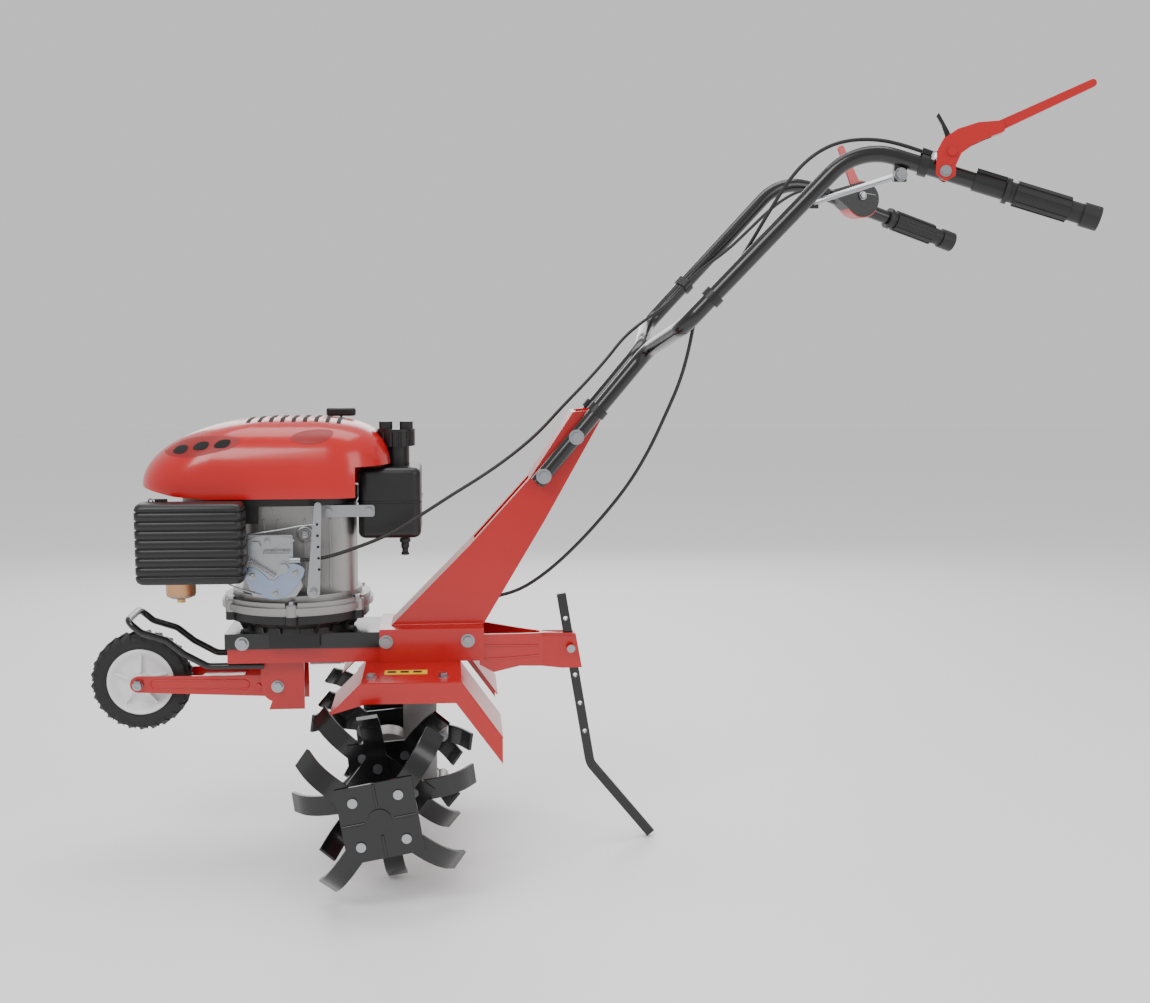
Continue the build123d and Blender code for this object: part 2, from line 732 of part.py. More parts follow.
with BuildPart() as idler_arm:
    with BuildSketch(Plane.XY.offset(arm_low)) as arm_face:
        with Locations(idler_pivot):
            Circle(11)
        with Locations(idler_at):
            Circle(8)
        make_hull()
    pull(arm_face, arm_high - arm_low)
    with BuildSketch(Plane.XY.offset(arm_low)) as tail_face:
        with Locations(idler_pivot):
            Circle(11)
        with Locations(tail_at):
            Circle(5)
        make_hull()
    pull(tail_face, arm_high - arm_low)
    stud_axis = Plane(origin=(*idler_at, 0), z_dir=(0, 0, 1))
    disc(stud_axis, belt_z - 8, arm_high - belt_z + 8, idler_stud_r)
    disc(stud_axis, belt_z - 9.5, 1.5, 6)
    tail_axis = Plane(origin=(*tail_at, 0), z_dir=(0, 0, 1))
    disc(tail_axis, 287, arm_low - 287, 2.5)
    pivot_axis = Plane(origin=(*idler_pivot, 0), z_dir=(0, 0, 1))
    disc(pivot_axis, arm_low - 1, 10, idler_pivot_r + fit, Mode.SUBTRACT)
write(idler_arm, "idler_arm")

with BuildPart() as idler_pulley:
    disc(stud_axis, belt_z - 7, 14, idler_r)
    disc(stud_axis, belt_z - 10, 20, idler_stud_r + fit, Mode.SUBTRACT)
write(idler_pulley, "idler_pulley")

with BuildPart() as idler_spring:
    spring_low = (-110.5, -46.0, 290.0)
    spring_length = 46.0
    spring_plane = Plane(origin=spring_low, x_dir=(0, 1, 0), z_dir=(1, 0, 0))
    disc(spring_plane, 0, spring_length, 4.5)
    disc(spring_plane, -1, spring_length + 2, 2.6, Mode.SUBTRACT)
write(idler_spring, "idler_spring")

# ---------------------------------------------------------------- engine
engine_axis = Plane(origin=(crank_x, 0, 0), z_dir=(0, 0, 1))
sump_low = 368.0
sump_high = 387.0
sump_r = 110.0
case_x = (-205.0, -43.0)
case_y = 60.0
case_high = 520.0
cylinder_x = (-286.0, -205.0)
cylinder_half = 48.0
cylinder_z = (418.0, 503.0)
pan_low = 524.0
pan_high = 541.0
lug_r = 104.0
lug_points = [(crank_x + lug_r * cos(radians(a)), lug_r * sin(radians(a))) for a in range(30, 390, 60)]

with BuildPart() as engine_mount:
    disc(engine_axis, deck_top, 10, 80)
    with BuildSketch(engine_axis.offset(deck_top + 10)) as lower_ring:
        Circle(82)
    with BuildSketch(engine_axis.offset(sump_low - 12)) as upper_ring:
        Circle(103)
    loft(Sketch() + [lower_ring.sketch, upper_ring.sketch])
    disc(engine_axis, sump_low - 12, 12, lug_r)
    with BuildSketch(Plane.XY.offset(sump_low - 12)) as mount_lugs:
        with Locations(*lug_points):
            Circle(9)
    pull(mount_lugs, 12)
    with BuildSketch(Plane.XY.offset(sump_low - 11)) as mount_bores:
        with Locations(*lug_points):
            Circle(3.1)
    pull(mount_bores, 12, Mode.SUBTRACT)
    disc(engine_axis, deck_top - 1, 60, 20, Mode.SUBTRACT)
    for side in (-1, 1):
        with BuildSketch(Plane.XY.offset(deck_low + 4)) as foot:
            with Locations((crank_x, side * (deck_half + 6.5))):
                Rectangle(72, 13)
        pull(foot, deck_top + 24 - deck_low - 4)
        with BuildSketch(Plane.XY.offset(deck_top + 2)) as foot_fill:
            with Locations((crank_x, side * (deck_half - 3))):
                Rectangle(72, 10)
        pull(foot_fill, 10)
    disc(engine_axis, deck_top + 4, 60, 70, Mode.SUBTRACT)
write(engine_mount, "engine_mount")

with BuildPart() as engine_sump:
    disc(engine_axis, sump_low, sump_high - sump_low, sump_r - 4)
    disc(engine_axis, sump_low + 3, 9, sump_r)
    with BuildSketch(Plane.XY.offset(sump_low)) as lugs:
        with Locations(*lug_points):
            Circle(9)
    pull(lugs, 16)
    with BuildSketch(Plane.XY.offset(sump_low + 16)) as spot_faces:
        with Locations(*lug_points):
            Circle(9)
    pull(spot_faces, 10, Mode.SUBTRACT)
    with BuildSketch(Plane.XY.offset(sump_low - 1)) as lug_bores:
        with Locations(*lug_points):
            Circle(3.1)
    pull(lug_bores, 20, Mode.SUBTRACT)
    disc(engine_axis, sump_low + 5, 40, 92, Mode.SUBTRACT)
    disc(engine_axis, sump_low - 1, 40, crank_r + fit, Mode.SUBTRACT)
write(engine_sump, "engine_sump")

with BuildPart() as crankcase:
    with BuildSketch(Plane.XY.offset(sump_high)) as case_base:
        with Locations((crank_x, 0)):
            Circle(94)
    pull(case_base, 8)
    with BuildSketch(Plane.XY.offset(sump_high)) as case_body:
        with Locations(((case_x[0] + case_x[1]) / 2, 0)):
            RectangleRounded(case_x[1] - case_x[0], 2 * case_y, 28)
    pull(case_body, case_high - sump_high)
    with BuildSketch(Plane.XY.offset(sump_high - 1)) as case_hollow:
        with Locations(((case_x[0] + case_x[1]) / 2, 0)):
            RectangleRounded(case_x[1] - case_x[0] - 12, 2 * case_y - 12, 22)
    pull(case_hollow, case_high - sump_high - 8, Mode.SUBTRACT)
    with BuildSketch(Plane.YZ.offset(cylinder_x[0])) as cylinder_face:
        with Locations((0, (cylinder_z[0] + cylinder_z[1]) / 2)):
            RectangleRounded(2 * cylinder_half - 14, cylinder_z[1] - cylinder_z[0] - 14, 8)
    pull(cylinder_face, cylinder_x[1] - cylinder_x[0] + 4)
    for fin in range(9):
        with BuildSketch(Plane.YZ.offset(cylinder_x[0] + 4 + 8.5 * fin)) as fin_face:
            with Locations((0, (cylinder_z[0] + cylinder_z[1]) / 2)):
                RectangleRounded(2 * cylinder_half, cylinder_z[1] - cylinder_z[0], 8)
        pull(fin_face, 3)
    with BuildSketch(Plane.YZ.offset(cylinder_x[0] - 20)) as head_face:
        with Locations((0, (cylinder_z[0] + cylinder_z[1]) / 2)):
            RectangleRounded(2 * cylinder_half - 8, cylinder_z[1] - cylinder_z[0] - 6, 10)
    pull(head_face, 20)
    with BuildSketch(Plane.YZ.offset(cylinder_x[0] - 10)) as bore_face:
        with Locations((0, (cylinder_z[0] + cylinder_z[1]) / 2)):
            Circle(30)
    pull(bore_face, 90, Mode.SUBTRACT)
    for x in (-78, -165):
        disc(side_seat(x, case_y, 513, -1), -1, 3, 8)
    disc(engine_axis, 380, 200, crank_r + fit, Mode.SUBTRACT)
    with BuildSketch(Plane.YZ.offset(cylinder_x[0] - 25)) as plug_hole:
        with Locations((0, (cylinder_z[0] + cylinder_z[1]) / 2)):
            Circle(6)
    pull(plug_hole, 20, Mode.SUBTRACT)
write(crankcase, "crankcase")

with BuildPart() as spark_plug:
    plug_axis = Plane(
        origin=(cylinder_x[0] - 20, 0, (cylinder_z[0] + cylinder_z[1]) / 2),
        x_dir=(0, 1, 0),
        z_dir=(-1, 0, 0),
    )
    disc(plug_axis, -9, 9, 6)
    hexagon(plug_axis, 0, 6, 9)
    disc(plug_axis, 6, 12, 5)
    disc(plug_axis, 12, 14, 8)
write(spark_plug, "spark_plug")

with BuildPart() as muffler:
    muffler_y = (54.0, 104.0)
    with BuildSketch(Plane.XY.offset(432)) as box_face:
        with Locations((-250, (muffler_y[0] + muffler_y[1]) / 2)):
            RectangleRounded(108, muffler_y[1] - muffler_y[0], 12)
    pull(box_face, 70)
    with BuildSketch(Plane.XY.offset(434)) as hollow_face:
        with Locations((-250, (muffler_y[0] + muffler_y[1]) / 2)):
            RectangleRounded(104, muffler_y[1] - muffler_y[0] - 4, 10)
    pull(hollow_face, 66, Mode.SUBTRACT)
    disc(side_seat(-262, cylinder_half + 0.3, 462, 1), 0, 7, 12)
    disc(side_seat(-262, cylinder_half, 462, 1), -1, 9, 9, Mode.SUBTRACT)
    disc(Plane(origin=(-304, 86, 470), x_dir=(0, 1, 0), z_dir=(-1, 0, 0)), -3, 16, 9)
    disc(Plane(origin=(-304, 86, 470), x_dir=(0, 1, 0), z_dir=(-1, 0, 0)), -6, 20, 7.5, Mode.SUBTRACT)
write(muffler, "muffler")

with BuildPart() as crankshaft:
    disc(engine_axis, belt_z - pulley_half - 2, 582 - belt_z + pulley_half + 2, crank_r)
    disc(engine_axis, 548, 22, 78)
    disc(engine_axis, 556, 20, 66, Mode.SUBTRACT)
    disc(engine_axis, 548, 30, 24)
    with BuildSketch(Plane.XY.offset(570)) as vanes:
        for vane in range(16):
            turn = 22.5 * vane
            with Locations((crank_x + 72 * cos(radians(turn)), 72 * sin(radians(turn)))):
                Rectangle(12, 3, rotation=turn + 25)
    pull(vanes, 12)
write(crankshaft, "crankshaft")

cowl_step = (-37.0, 579.0)
cowl_wall = 3.0
cap_at = (18.0, 0.0)
cap_r = 27.5


# height, front, rear, half width and corner radius of the cowl's plan, bottom to top
cowl_plans = [
    (536.0, -341.0, 12.0, 111.0, 88.0),
    (562.0, -343.0, 12.0, 111.0, 90.0),
    (598.0, -318.0, 7.0, 104.0, 84.0),
    (626.0, -268.0, -14.0, 85.0, 66.0),
    (640.0, -214.0, -50.0, 58.0, 46.0),
    (645.0, -170.0, -84.0, 32.0, 26.0),
]


def cowl_solid(inset):
    """The cowl's outer form drawn in by inset, or for no inset the outer form itself."""
    plans = []
    for level, (height, front, rear, half, corner) in enumerate(cowl_plans):
        drop = 4 if level == 0 else 1
        with BuildSketch(Plane.XY.offset(height - drop * inset)) as plan:
            with Locations(((front + rear) / 2, 0)):
                RectangleRounded(rear - front - 2 * inset, 2 * (half - inset), corner - inset)
        plans.append(plan.sketch)
    return loft(Sketch() + plans, mode=Mode.PRIVATE)


with BuildPart() as engine_shroud:
    add(cowl_solid(0))
    with BuildSketch(Plane.XZ) as cowl_under:
        with BuildLine():
            Polyline((-360, 500), (-360, 553), (-289, 540), (-230, 535), (-230, 500), close=True)
        make_face()
        with Locations((cowl_step[0] + 50, cowl_step[1] - 50)):
            Rectangle(100, 100)
    pull(cowl_under, 200, Mode.SUBTRACT, both=True)
    add(cowl_solid(cowl_wall), mode=Mode.SUBTRACT)
    disc(Plane(origin=(*cap_at, 0), z_dir=(0, 0, 1)), 560, 100, cap_r + 3, Mode.SUBTRACT)
    with BuildSketch(Plane.XY.offset(600)) as grille:
        for slot in range(9):
            with Locations((-190 + 15 * slot, 0)):
                SlotOverall(70, 5, rotation=62)
    pull(grille, 60, Mode.SUBTRACT)
    disc(Plane(origin=(-66, 62, 0), z_dir=(0, 0, 1)), 590, 60, 3, Mode.SUBTRACT)
write(engine_shroud, "engine_shroud")

with BuildPart() as blower_housing:
    with BuildSketch(Plane.XY.offset(pan_low)) as pan_outline:
        with Locations((-165, 0)):
            RectangleRounded(250, 190, 80)
    pull(pan_outline, pan_high - pan_low)
    with BuildSketch(Plane.XY.offset(pan_low + 3)) as pan_hollow:
        with Locations((-165, 0)):
            RectangleRounded(244, 184, 77)
    pull(pan_hollow, 40, Mode.SUBTRACT)
    disc(engine_axis, pan_low - 1, 10, 26, Mode.SUBTRACT)
    with BuildSketch(Plane.XY.offset(498)) as baffle:
        with Locations((-230, -80)):
            Rectangle(110, 3)
    pull(baffle, pan_low - 495)
write(blower_housing, "blower_housing")

knob_at = (-66.0, 62.0, 642.0)
with BuildPart() as starter_handle:
    with BuildSketch(Plane.XY.offset(knob_at[2])) as grip_face:
        with Locations(knob_at[:2]):
            SlotOverall(44, 15)
    pull(grip_face, 12)
    fillet(starter_handle.edges().filter_by(Axis.Z, reverse=True), 3)
    disc(Plane(origin=(knob_at[0], knob_at[1], 0), z_dir=(0, 0, 1)), knob_at[2] - 55, 56, 1.8)
write(starter_handle, "starter_handle")

tank_x = (-36.0, 54.0)
tank_half = 62.0
tank_z = (472.0, 574.0)
neck_r = 19.0
neck_top = 606.0
with BuildPart() as fuel_tank:
    for shrink, mode in ((0, Mode.ADD), (3, Mode.SUBTRACT)):
        with BuildSketch(Plane.XY.offset(tank_z[0] + shrink)) as tank_plan:
            with Locations(((tank_x[0] + tank_x[1]) / 2, 0)):
                RectangleRounded(tank_x[1] - tank_x[0] - 2 * shrink, 2 * (tank_half - shrink), 14 - shrink)
        pull(tank_plan, tank_z[1] - tank_z[0] - 2 * shrink, mode)
        if shrink == 0:
            fillet(fuel_tank.faces().sort_by(Axis.Z)[0].edges(), 9)
            fillet(fuel_tank.faces().sort_by(Axis.Z)[-1].edges(), 9)
    cap_axis = Plane(origin=(*cap_at, 0), z_dir=(0, 0, 1))
    disc(cap_axis, tank_z[1] - 3, neck_top - tank_z[1] + 3, neck_r)
    disc(cap_axis, tank_z[1] - 5, 60, neck_r - 3.5, Mode.SUBTRACT)
    tap_axis = Plane(origin=(30, -30, tank_z[0]), z_dir=(0, 0, -1))
    disc(tap_axis, -2, 12, 5)
    disc(tap_axis, 4, 5, 8)
write(fuel_tank, "fuel_tank")

with BuildPart() as fuel_cap:
    disc(cap_axis, 602, 25, cap_r)
    with BuildSketch(Plane.XY.offset(602)) as flutes:
        for flute in range(14):
            turn = 360 / 14 * flute
            with Locations((cap_at[0] + 28.6 * cos(radians(turn)), 28.6 * sin(radians(turn)))):
                Circle(2.6)
    pull(flutes, 21, Mode.SUBTRACT)
    for side in (-1, 1):
        with BuildSketch(Plane.XY.offset(626)) as lobe:
            with Locations((cap_at[0] + side * 15, 0)):
                RectangleRounded(19, 34, 6)
        pull(lobe, 12)
    disc(cap_axis, 600, neck_top - 600 + 1, neck_r + 0.3, Mode.SUBTRACT)
write(fuel_cap, "fuel_cap")

with BuildPart() as tank_bracket:
    with BuildSketch(Plane.XZ.offset(tank_half)) as strap:
        with Locations((-50, 513)):
            RectangleRounded(76, 17, 4)
    pull(strap, 2.5)
    for x in (-78, -20):
        hex_bolt(side_seat(x, tank_half + 2.5, 513, -1), 3, 2, 7)
write(tank_bracket, "tank_bracket")

filter_x = (-334.0, -187.0)
filter_z = (424.0, 536.0)
filter_y = (118.0, 126.0, 164.0)
filter_mid = ((filter_x[0] + filter_x[1]) / 2, (filter_z[0] + filter_z[1]) / 2)
filter_size = (filter_x[1] - filter_x[0], filter_z[1] - filter_z[0])

with BuildPart() as air_filter_cover:
    with BuildSketch(Plane.XZ.offset(filter_y[1])) as cover_face:
        with Locations(filter_mid):
            RectangleRounded(*filter_size, 11)
    pull(cover_face, filter_y[2] - filter_y[1])
    fillet(air_filter_cover.faces().sort_by(Axis.Y)[0].edges(), 8)
    with BuildSketch(Plane.XZ.offset(filter_y[1])) as cover_hollow:
        with Locations(filter_mid):
            RectangleRounded(filter_size[0] - 6, filter_size[1] - 6, 8)
    pull(cover_hollow, filter_y[2] - filter_y[1] - 9, Mode.SUBTRACT)
write(air_filter_cover, "air_filter_cover")

carb_x = -284.0
carb_z = 448.0
with BuildPart() as air_filter_base:
    with BuildSketch(Plane.XZ.offset(filter_y[0])) as base_face:
        with Locations(filter_mid):
            RectangleRounded(filter_size[0] - 2, filter_size[1] - 2, 10)
    pull(base_face, filter_y[1] - filter_y[0])
    with BuildSketch(Plane.XZ.offset(filter_y[0] - 1)) as base_hollow:
        with Locations(filter_mid):
            RectangleRounded(filter_size[0] - 10, filter_size[1] - 10, 7)
    with BuildSketch(Plane.XZ.offset(filter_y[0] + 3)) as base_hollow:
        with Locations(filter_mid):
            RectangleRounded(filter_size[0] - 10, filter_size[1] - 10, 7)
    pull(base_hollow, filter_y[1] - filter_y[0] - 3, Mode.SUBTRACT)
    disc(side_seat(carb_x, filter_y[0] - 1, carb_z, -1), 0, 20, 14, Mode.SUBTRACT)
    with BuildSketch(Plane.XY.offset(filter_z[1] - 1)) as latch:
        with Locations((filter_x[0] + 30, -filter_y[0] - 4)):
            Rectangle(20, 6)
    pull(latch, 4)
write(air_filter_base, "air_filter_base")

with BuildPart() as carburettor:
    throat = side_seat(carb_x, cylinder_half + 8, carb_z, -1)
    disc(side_seat(carb_x + 10, cylinder_half, carb_z + 6, -1), 0, 8, 9)
    with BuildSketch(throat) as flange:
        RectangleRounded(44, 34, 8)
    pull(flange, 6)
    disc(throat, 6, filter_y[0] - cylinder_half - 14, 18)
    with BuildSketch(throat.offset(24)) as body:
        Rectangle(40, 30)
    pull(body, 22)
    disc(throat, -1, 80, 12, Mode.SUBTRACT)
    disc(Plane(origin=(carb_x, -cylinder_half - 42, 398), z_dir=(0, 0, 1)), 0, 36, 20)
    disc(Plane(origin=(carb_x, -cylinder_half - 42, 392), z_dir=(0, 0, 1)), 0, 7, 5)
    disc(throat, -1, 80, 12, Mode.SUBTRACT)
write(carburettor, "carburettor")

plate_y = 104.0
governor_pivot = (-97.0, 404.0)
governor_top = (-88.8, 526.0)
cable_r = 2.5
with BuildPart() as control_plate:
    with BuildSketch(Plane.XZ.offset(plate_y)) as upper_plate:
        with Locations((-158, 466)):
            RectangleRounded(66, 38, 3)
    pull(upper_plate, 1.8)
    with BuildSketch(Plane.XZ.offset(plate_y)) as lower_plate:
        with BuildLine():
            Polyline(
                (-196, 434),
                (-176, 450),
                (-126, 450),
                (-116, 424),
                (-112, 412),
                (-122, 397),
                (-150, 394),
                (-182, 398),
                close=True,
            )
        make_face()
        fillet(lower_plate.vertices(), 5)
    pull(lower_plate, 1.8)
    with BuildSketch(Plane.XZ.offset(case_y)) as legs:
        with Locations((-176, 470), (-138, 438)):
            Circle(6)
    pull(legs, plate_y - case_y)
    for x, z in ((-176, 470), (-138, 438)):
        hex_bolt(side_seat(x, plate_y + 1.8, z, -1), 4, 2, 10)
    post_seat = side_seat(governor_pivot[0], case_y, governor_pivot[1], -1)
    disc(post_seat, 0, plate_y + 4 - case_y, 6)
    disc(post_seat, 0, plate_y + 7 - case_y, 3)
    disc(post_seat, plate_y + 7 - case_y, 3, 6)
    cable_eye = Plane(origin=(-129, -105, 449), z_dir=(1, 0, 0))
    disc(cable_eye, 0, 14, cable_r + 2.5)
    disc(cable_eye, 4, 11, cable_r + 0.15, Mode.SUBTRACT)
write(control_plate, "control_plate")

with BuildPart() as governor_arm:
    with BuildSketch(Plane.XZ.offset(plate_y + 4.5)) as arm_outline:
        with Locations(governor_pivot):
            Circle(9)
        with Locations(governor_top):
            Circle(5)
        make_hull()
        with Locations(governor_pivot):
            Circle(3 + fit, mode=Mode.SUBTRACT)
    pull(arm_outline, 2)
write(governor_arm, "governor_arm")

# ---------------------------------------------------------------- handlebars
bar_radii = [32, 32, 80]


def bar_points(side):
    """Centre line of one handlebar tube from its foot to its grip end."""
    return [
        (tube_foot[0], side * tube_y, tube_foot[1]),
        (jog_low[0], side * tube_y, jog_low[1]),
        (jog_high[0], side * jog_high[1], jog_high[2]),
        (bar_crest[0], side * bar_crest[1], bar_crest[2]),
        (grip_end[0], side * grip_end[1], grip_end[2]),
    ]


crest = Vector(*bar_crest)
grip_dir = (Vector(*grip_end) - crest).normalized()
grip_reach = (Vector(*grip_end) - crest).length - grip_length  # from the crest to the grip's start
level_run = sqrt(grip_dir.X ** 2 + grip_dir.Y ** 2)
level_x = grip_dir.X / level_run
level_y = grip_dir.Y / level_run
lever_reach = 118.7
throttle_reach = 125.5
lever_bolt_r = 3.0


def bar_plane(side, reach):
    """Plane square to the bar's grip stretch, reach along it from the crest."""
    place = crest + grip_dir * reach
    return Plane(
        origin=(place.X, side * place.Y, place.Z),
        x_dir=(-side * grip_dir.Y, grip_dir.X, 0),
        z_dir=(grip_dir.X, side * grip_dir.Y, grip_dir.Z),
    )


lever_at = bar_plane(-1, lever_reach).origin
lever_plane = Plane(origin=lever_at, x_dir=(level_x, -level_y, 0), z_dir=(-level_y, -level_x, 0))
throttle_at = bar_plane(1, throttle_reach).origin
throttle_plane = Plane(origin=throttle_at, x_dir=(level_x, level_y, 0), z_dir=(level_y, -level_x, 0))

for side, name in ((-1, "handlebar_left"), (1, "handlebar_right")):
    with BuildPart() as handlebar:
        with BuildLine() as bar_line:
            FilletPolyline(*bar_points(side), radius=bar_radii)
        with BuildSketch(Plane(origin=bar_line.line @ 0, z_dir=bar_line.line % 0)):
            Circle(tube_r)
            Circle(tube_r - tube_wall, mode=Mode.SUBTRACT)
        sweep()
        cross_holes(post_bolts, frame_bolt_r + bolt_fit)
        disc(bar_plane(side, grip_reach), grip_length - 6, 10, tube_r + 1, Mode.SUBTRACT)
        if side < 0:
            disc(lever_plane, -20, 40, lever_bolt_r + bolt_fit, Mode.SUBTRACT)
    write(handlebar, name)

sleeve_steps = ((0, 6, 17), (5, 10, 13.5), (14, 72, 17), (86, 18, 13.2), (104, grip_length - 104, 16))
for side, name in ((-1, "grip_left"), (1, "grip_right")):
    with BuildPart() as grip:
        start = bar_plane(side, grip_reach)
        for low, length, radius in sleeve_steps:
            disc(start, low, length, radius)
        with BuildSketch(start.offset(14)) as ribs:
            with PolarLocations(17.6, 10):
                Rectangle(3.2, 4)
        pull(ribs, 72, Mode.SUBTRACT)
        disc(start, -2, grip_length - 4, tube_r, Mode.SUBTRACT)
    write(grip, name)

rod_at = (691.8, 975.3)
rod_r = 4.5
rod_bar_y = bar_crest[1] + (rod_at[0] - bar_crest[0]) * grip_dir.Y / grip_dir.X
rod_bar_z = bar_crest[2] + (rod_at[0] - bar_crest[0]) * grip_dir.Z / grip_dir.X
rod_reach = (rod_at[0] - bar_crest[0]) / grip_dir.X
with BuildPart() as crossbar:
    with BuildSketch(Plane.XZ) as rod_face:
        with Locations(rod_at):
            Circle(rod_r)
    pull(rod_face, rod_bar_y + 5, both=True)
    for side in (-1, 1):
        disc(side_seat(rod_at[0], rod_bar_y + 5, rod_at[1], side), 0, 1.5, 9)
        hexagon(side_seat(rod_at[0], rod_bar_y + 5, rod_at[1], side), 1.5, 6, 7.5)
write(crossbar, "crossbar")

# ---------------------------------------------------------------- clips and cable stops
clip_wide = 13.0
clip_out = 3.5
eye_offset = 17.7
cable_gap = 0.15
jog_top = Vector(*jog_high)
climb = (crest - jog_top).normalized()
left_climb = Vector(climb.X, -climb.Y, climb.Z)
left_clip = Vector(jog_top.X, -jog_top.Y, jog_top.Z) + left_climb * 53.6
right_clip = jog_top + climb * 88.6
foot_climb = Vector(tube_dir[0], 0, tube_dir[1])
post_clip = Vector(tube_foot[0], 0, tube_foot[1]) + foot_climb * 137
stop_reach = 90.0
stop_dir = Vector(-0.917, 0.189, 0.35).normalized()
stop_at = Vector(724.0, -254.0, 1004.0)


def eye_centre(clip, direction, side):
    """Centre of a clip's cable eye, square off the tube towards the machine's middle."""
    inward = Vector(0, -side, 0)
    inward = (inward - direction * inward.dot(direction)).normalized()
    return clip + inward * eye_offset


left_eye = eye_centre(left_clip, left_climb, -1)
right_eye = eye_centre(right_clip, climb, 1)


def band(place, direction, radius, mode=Mode.ADD, grow=0.0):
    """A clip's width of round stock about a place, along a direction."""
    start = Plane(origin=place - direction * (clip_wide / 2 + grow), z_dir=direction)
    disc(start, 0, clip_wide + 2 * grow, radius, mode)


with BuildPart() as tube_clips:
    for clip, direction, eye in ((left_clip, left_climb, left_eye), (right_clip, climb, right_eye)):
        band(clip, direction, tube_r + clip_out)
        band(eye, direction, cable_r + 2.6)
        band(clip, direction, tube_r, Mode.SUBTRACT, grow=1)
        band(eye, direction, cable_r + cable_gap, Mode.SUBTRACT, grow=1)
    for side in (-1, 1):
        place = Vector(post_clip.X, side * tube_y, post_clip.Z)
        band(place, foot_climb, tube_r + clip_out)
        band(place, foot_climb, tube_r, Mode.SUBTRACT, grow=4)
    with BuildSketch(Plane.XZ) as column_face:
        with Locations((300, 640)):
            Rectangle(120, 120)
    pull(column_face, column_half + 0.4, Mode.SUBTRACT, both=True)
    for side in (-1, 1):
        with BuildSketch(Plane.XZ.offset(-side * (rod_bar_y - 4))) as hanger:
            with Locations((rod_at[0], (rod_at[1] + rod_bar_z) / 2 - 5)):
                Rectangle(17, rod_bar_z - rod_at[1] + 8)
            with Locations(rod_at):
                Circle(rod_r + bolt_fit, mode=Mode.SUBTRACT)
        pull(hanger, -side * 8)
        disc(bar_plane(side, rod_reach), -30, 60, tube_r, Mode.SUBTRACT)
    stop_plane = Plane(origin=stop_at, z_dir=stop_dir)
    disc(bar_plane(-1, stop_reach), -6, 12, tube_r + clip_out)
    disc(stop_plane, -9, 14, 5.5)
    disc(stop_plane, 0, 20, cable_r + cable_gap, Mode.SUBTRACT)
    disc(stop_plane, -12, 14, 1.2, Mode.SUBTRACT)
    disc(bar_plane(-1, stop_reach), -20, 40, tube_r, Mode.SUBTRACT)
    disc(bar_plane(-1, grip_reach - 42), 0, 41, tube_r + 2)
    with BuildSketch(bar_plane(-1, grip_reach - 42)) as pad:
        with Locations((0, tube_r + 3)):
            Rectangle(14, 5)
    pull(pad, 41)
    disc(bar_plane(-1, grip_reach - 50), 0, 60, tube_r, Mode.SUBTRACT)
write(tube_clips, "tube_clips")

# ---------------------------------------------------------------- clutch lever
lever_side = 14.0
lever_sheet = 2.5
lock_pin = (7.5, 25.1)
lock_pin_r = 2.5

with BuildPart() as clutch_lever:
    with BuildSketch(lever_plane) as lever_face:
        with BuildLine():
            Polyline(
                (-13, -4),
                (-12, 26),
                (-4, 42),
                (14, 54),
                (40, 62),
                (72, 64),
                (74, 50),
                (52, 42),
                (34, 34),
                (20, 24),
                (13, 8),
                (13, -6),
                (0, -13),
                close=True,
            )
        make_face()
        fillet(lever_face.vertices(), 3.5)
    pull(lever_face, lever_side, both=True)
    with BuildSketch(lever_plane) as lever_hollow:
        with BuildLine():
            Polyline(
                (-20, -20),
                (-20, 18),
                (-9, 18),
                (-9, 25),
                (-2, 39),
                (15, 50.3),
                (41, 58),
                (58, 59.5),
                (58, 40),
                (40, 30),
                (22, 10),
                (22, -20),
                close=True,
            )
        make_face()
    pull(lever_hollow, lever_side - lever_sheet, Mode.SUBTRACT, both=True)
    with BuildSketch(lever_plane) as finger_slot:
        with Locations((0, 42)):
            Rectangle(34, 34)
    pull(finger_slot, 6, Mode.SUBTRACT, both=True)
    with BuildSketch(lever_plane) as lever_arm:
        with Locations((66, 57)):
            Circle(6.5)
        with Locations((183, 110)):
            Circle(5)
        make_hull()
    pull(lever_arm, 7, both=True)
    disc(lever_plane, -20, 40, lever_bolt_r + fit, Mode.SUBTRACT)
    pin_seat = lever_plane.offset(lever_side)
    with BuildSketch(pin_seat.offset(-2 * lever_side)) as lock_shank:
        with Locations(lock_pin):
            Circle(lock_pin_r)
    pull(lock_shank, 2 * lever_side)
    for seat_offset in (lever_side, -lever_side - 4):
        with BuildSketch(lever_plane.offset(seat_offset)) as lock_head:
            with Locations(lock_pin):
                RegularPolygon(6.5, 6)
        pull(lock_head, 4)
write(clutch_lever, "clutch_lever")

with BuildPart() as lever_lock:
    with BuildSketch(lever_plane) as finger:
        with BuildLine():
            Polyline(
                (3, 20),
                (12, 22),
                (10, 36),
                (4, 52),
                (-4, 66),
                (-10, 76),
                (-13, 72),
                (-7, 62),
                (-2, 48),
                (0, 36),
                close=True,
            )
        make_face()
        with Locations(lock_pin):
            Circle(6.5)
            Circle(lock_pin_r + fit, mode=Mode.SUBTRACT)
    pull(finger, 4, both=True)
write(lever_lock, "lever_lock")

# ---------------------------------------------------------------- throttle
throttle_screw = (9.8, 10.2)
throttle_disc_r = 25.0
slot_low = 16.0
slot_high = 22.0
housing_low = -8.0
housing_high = 28.0

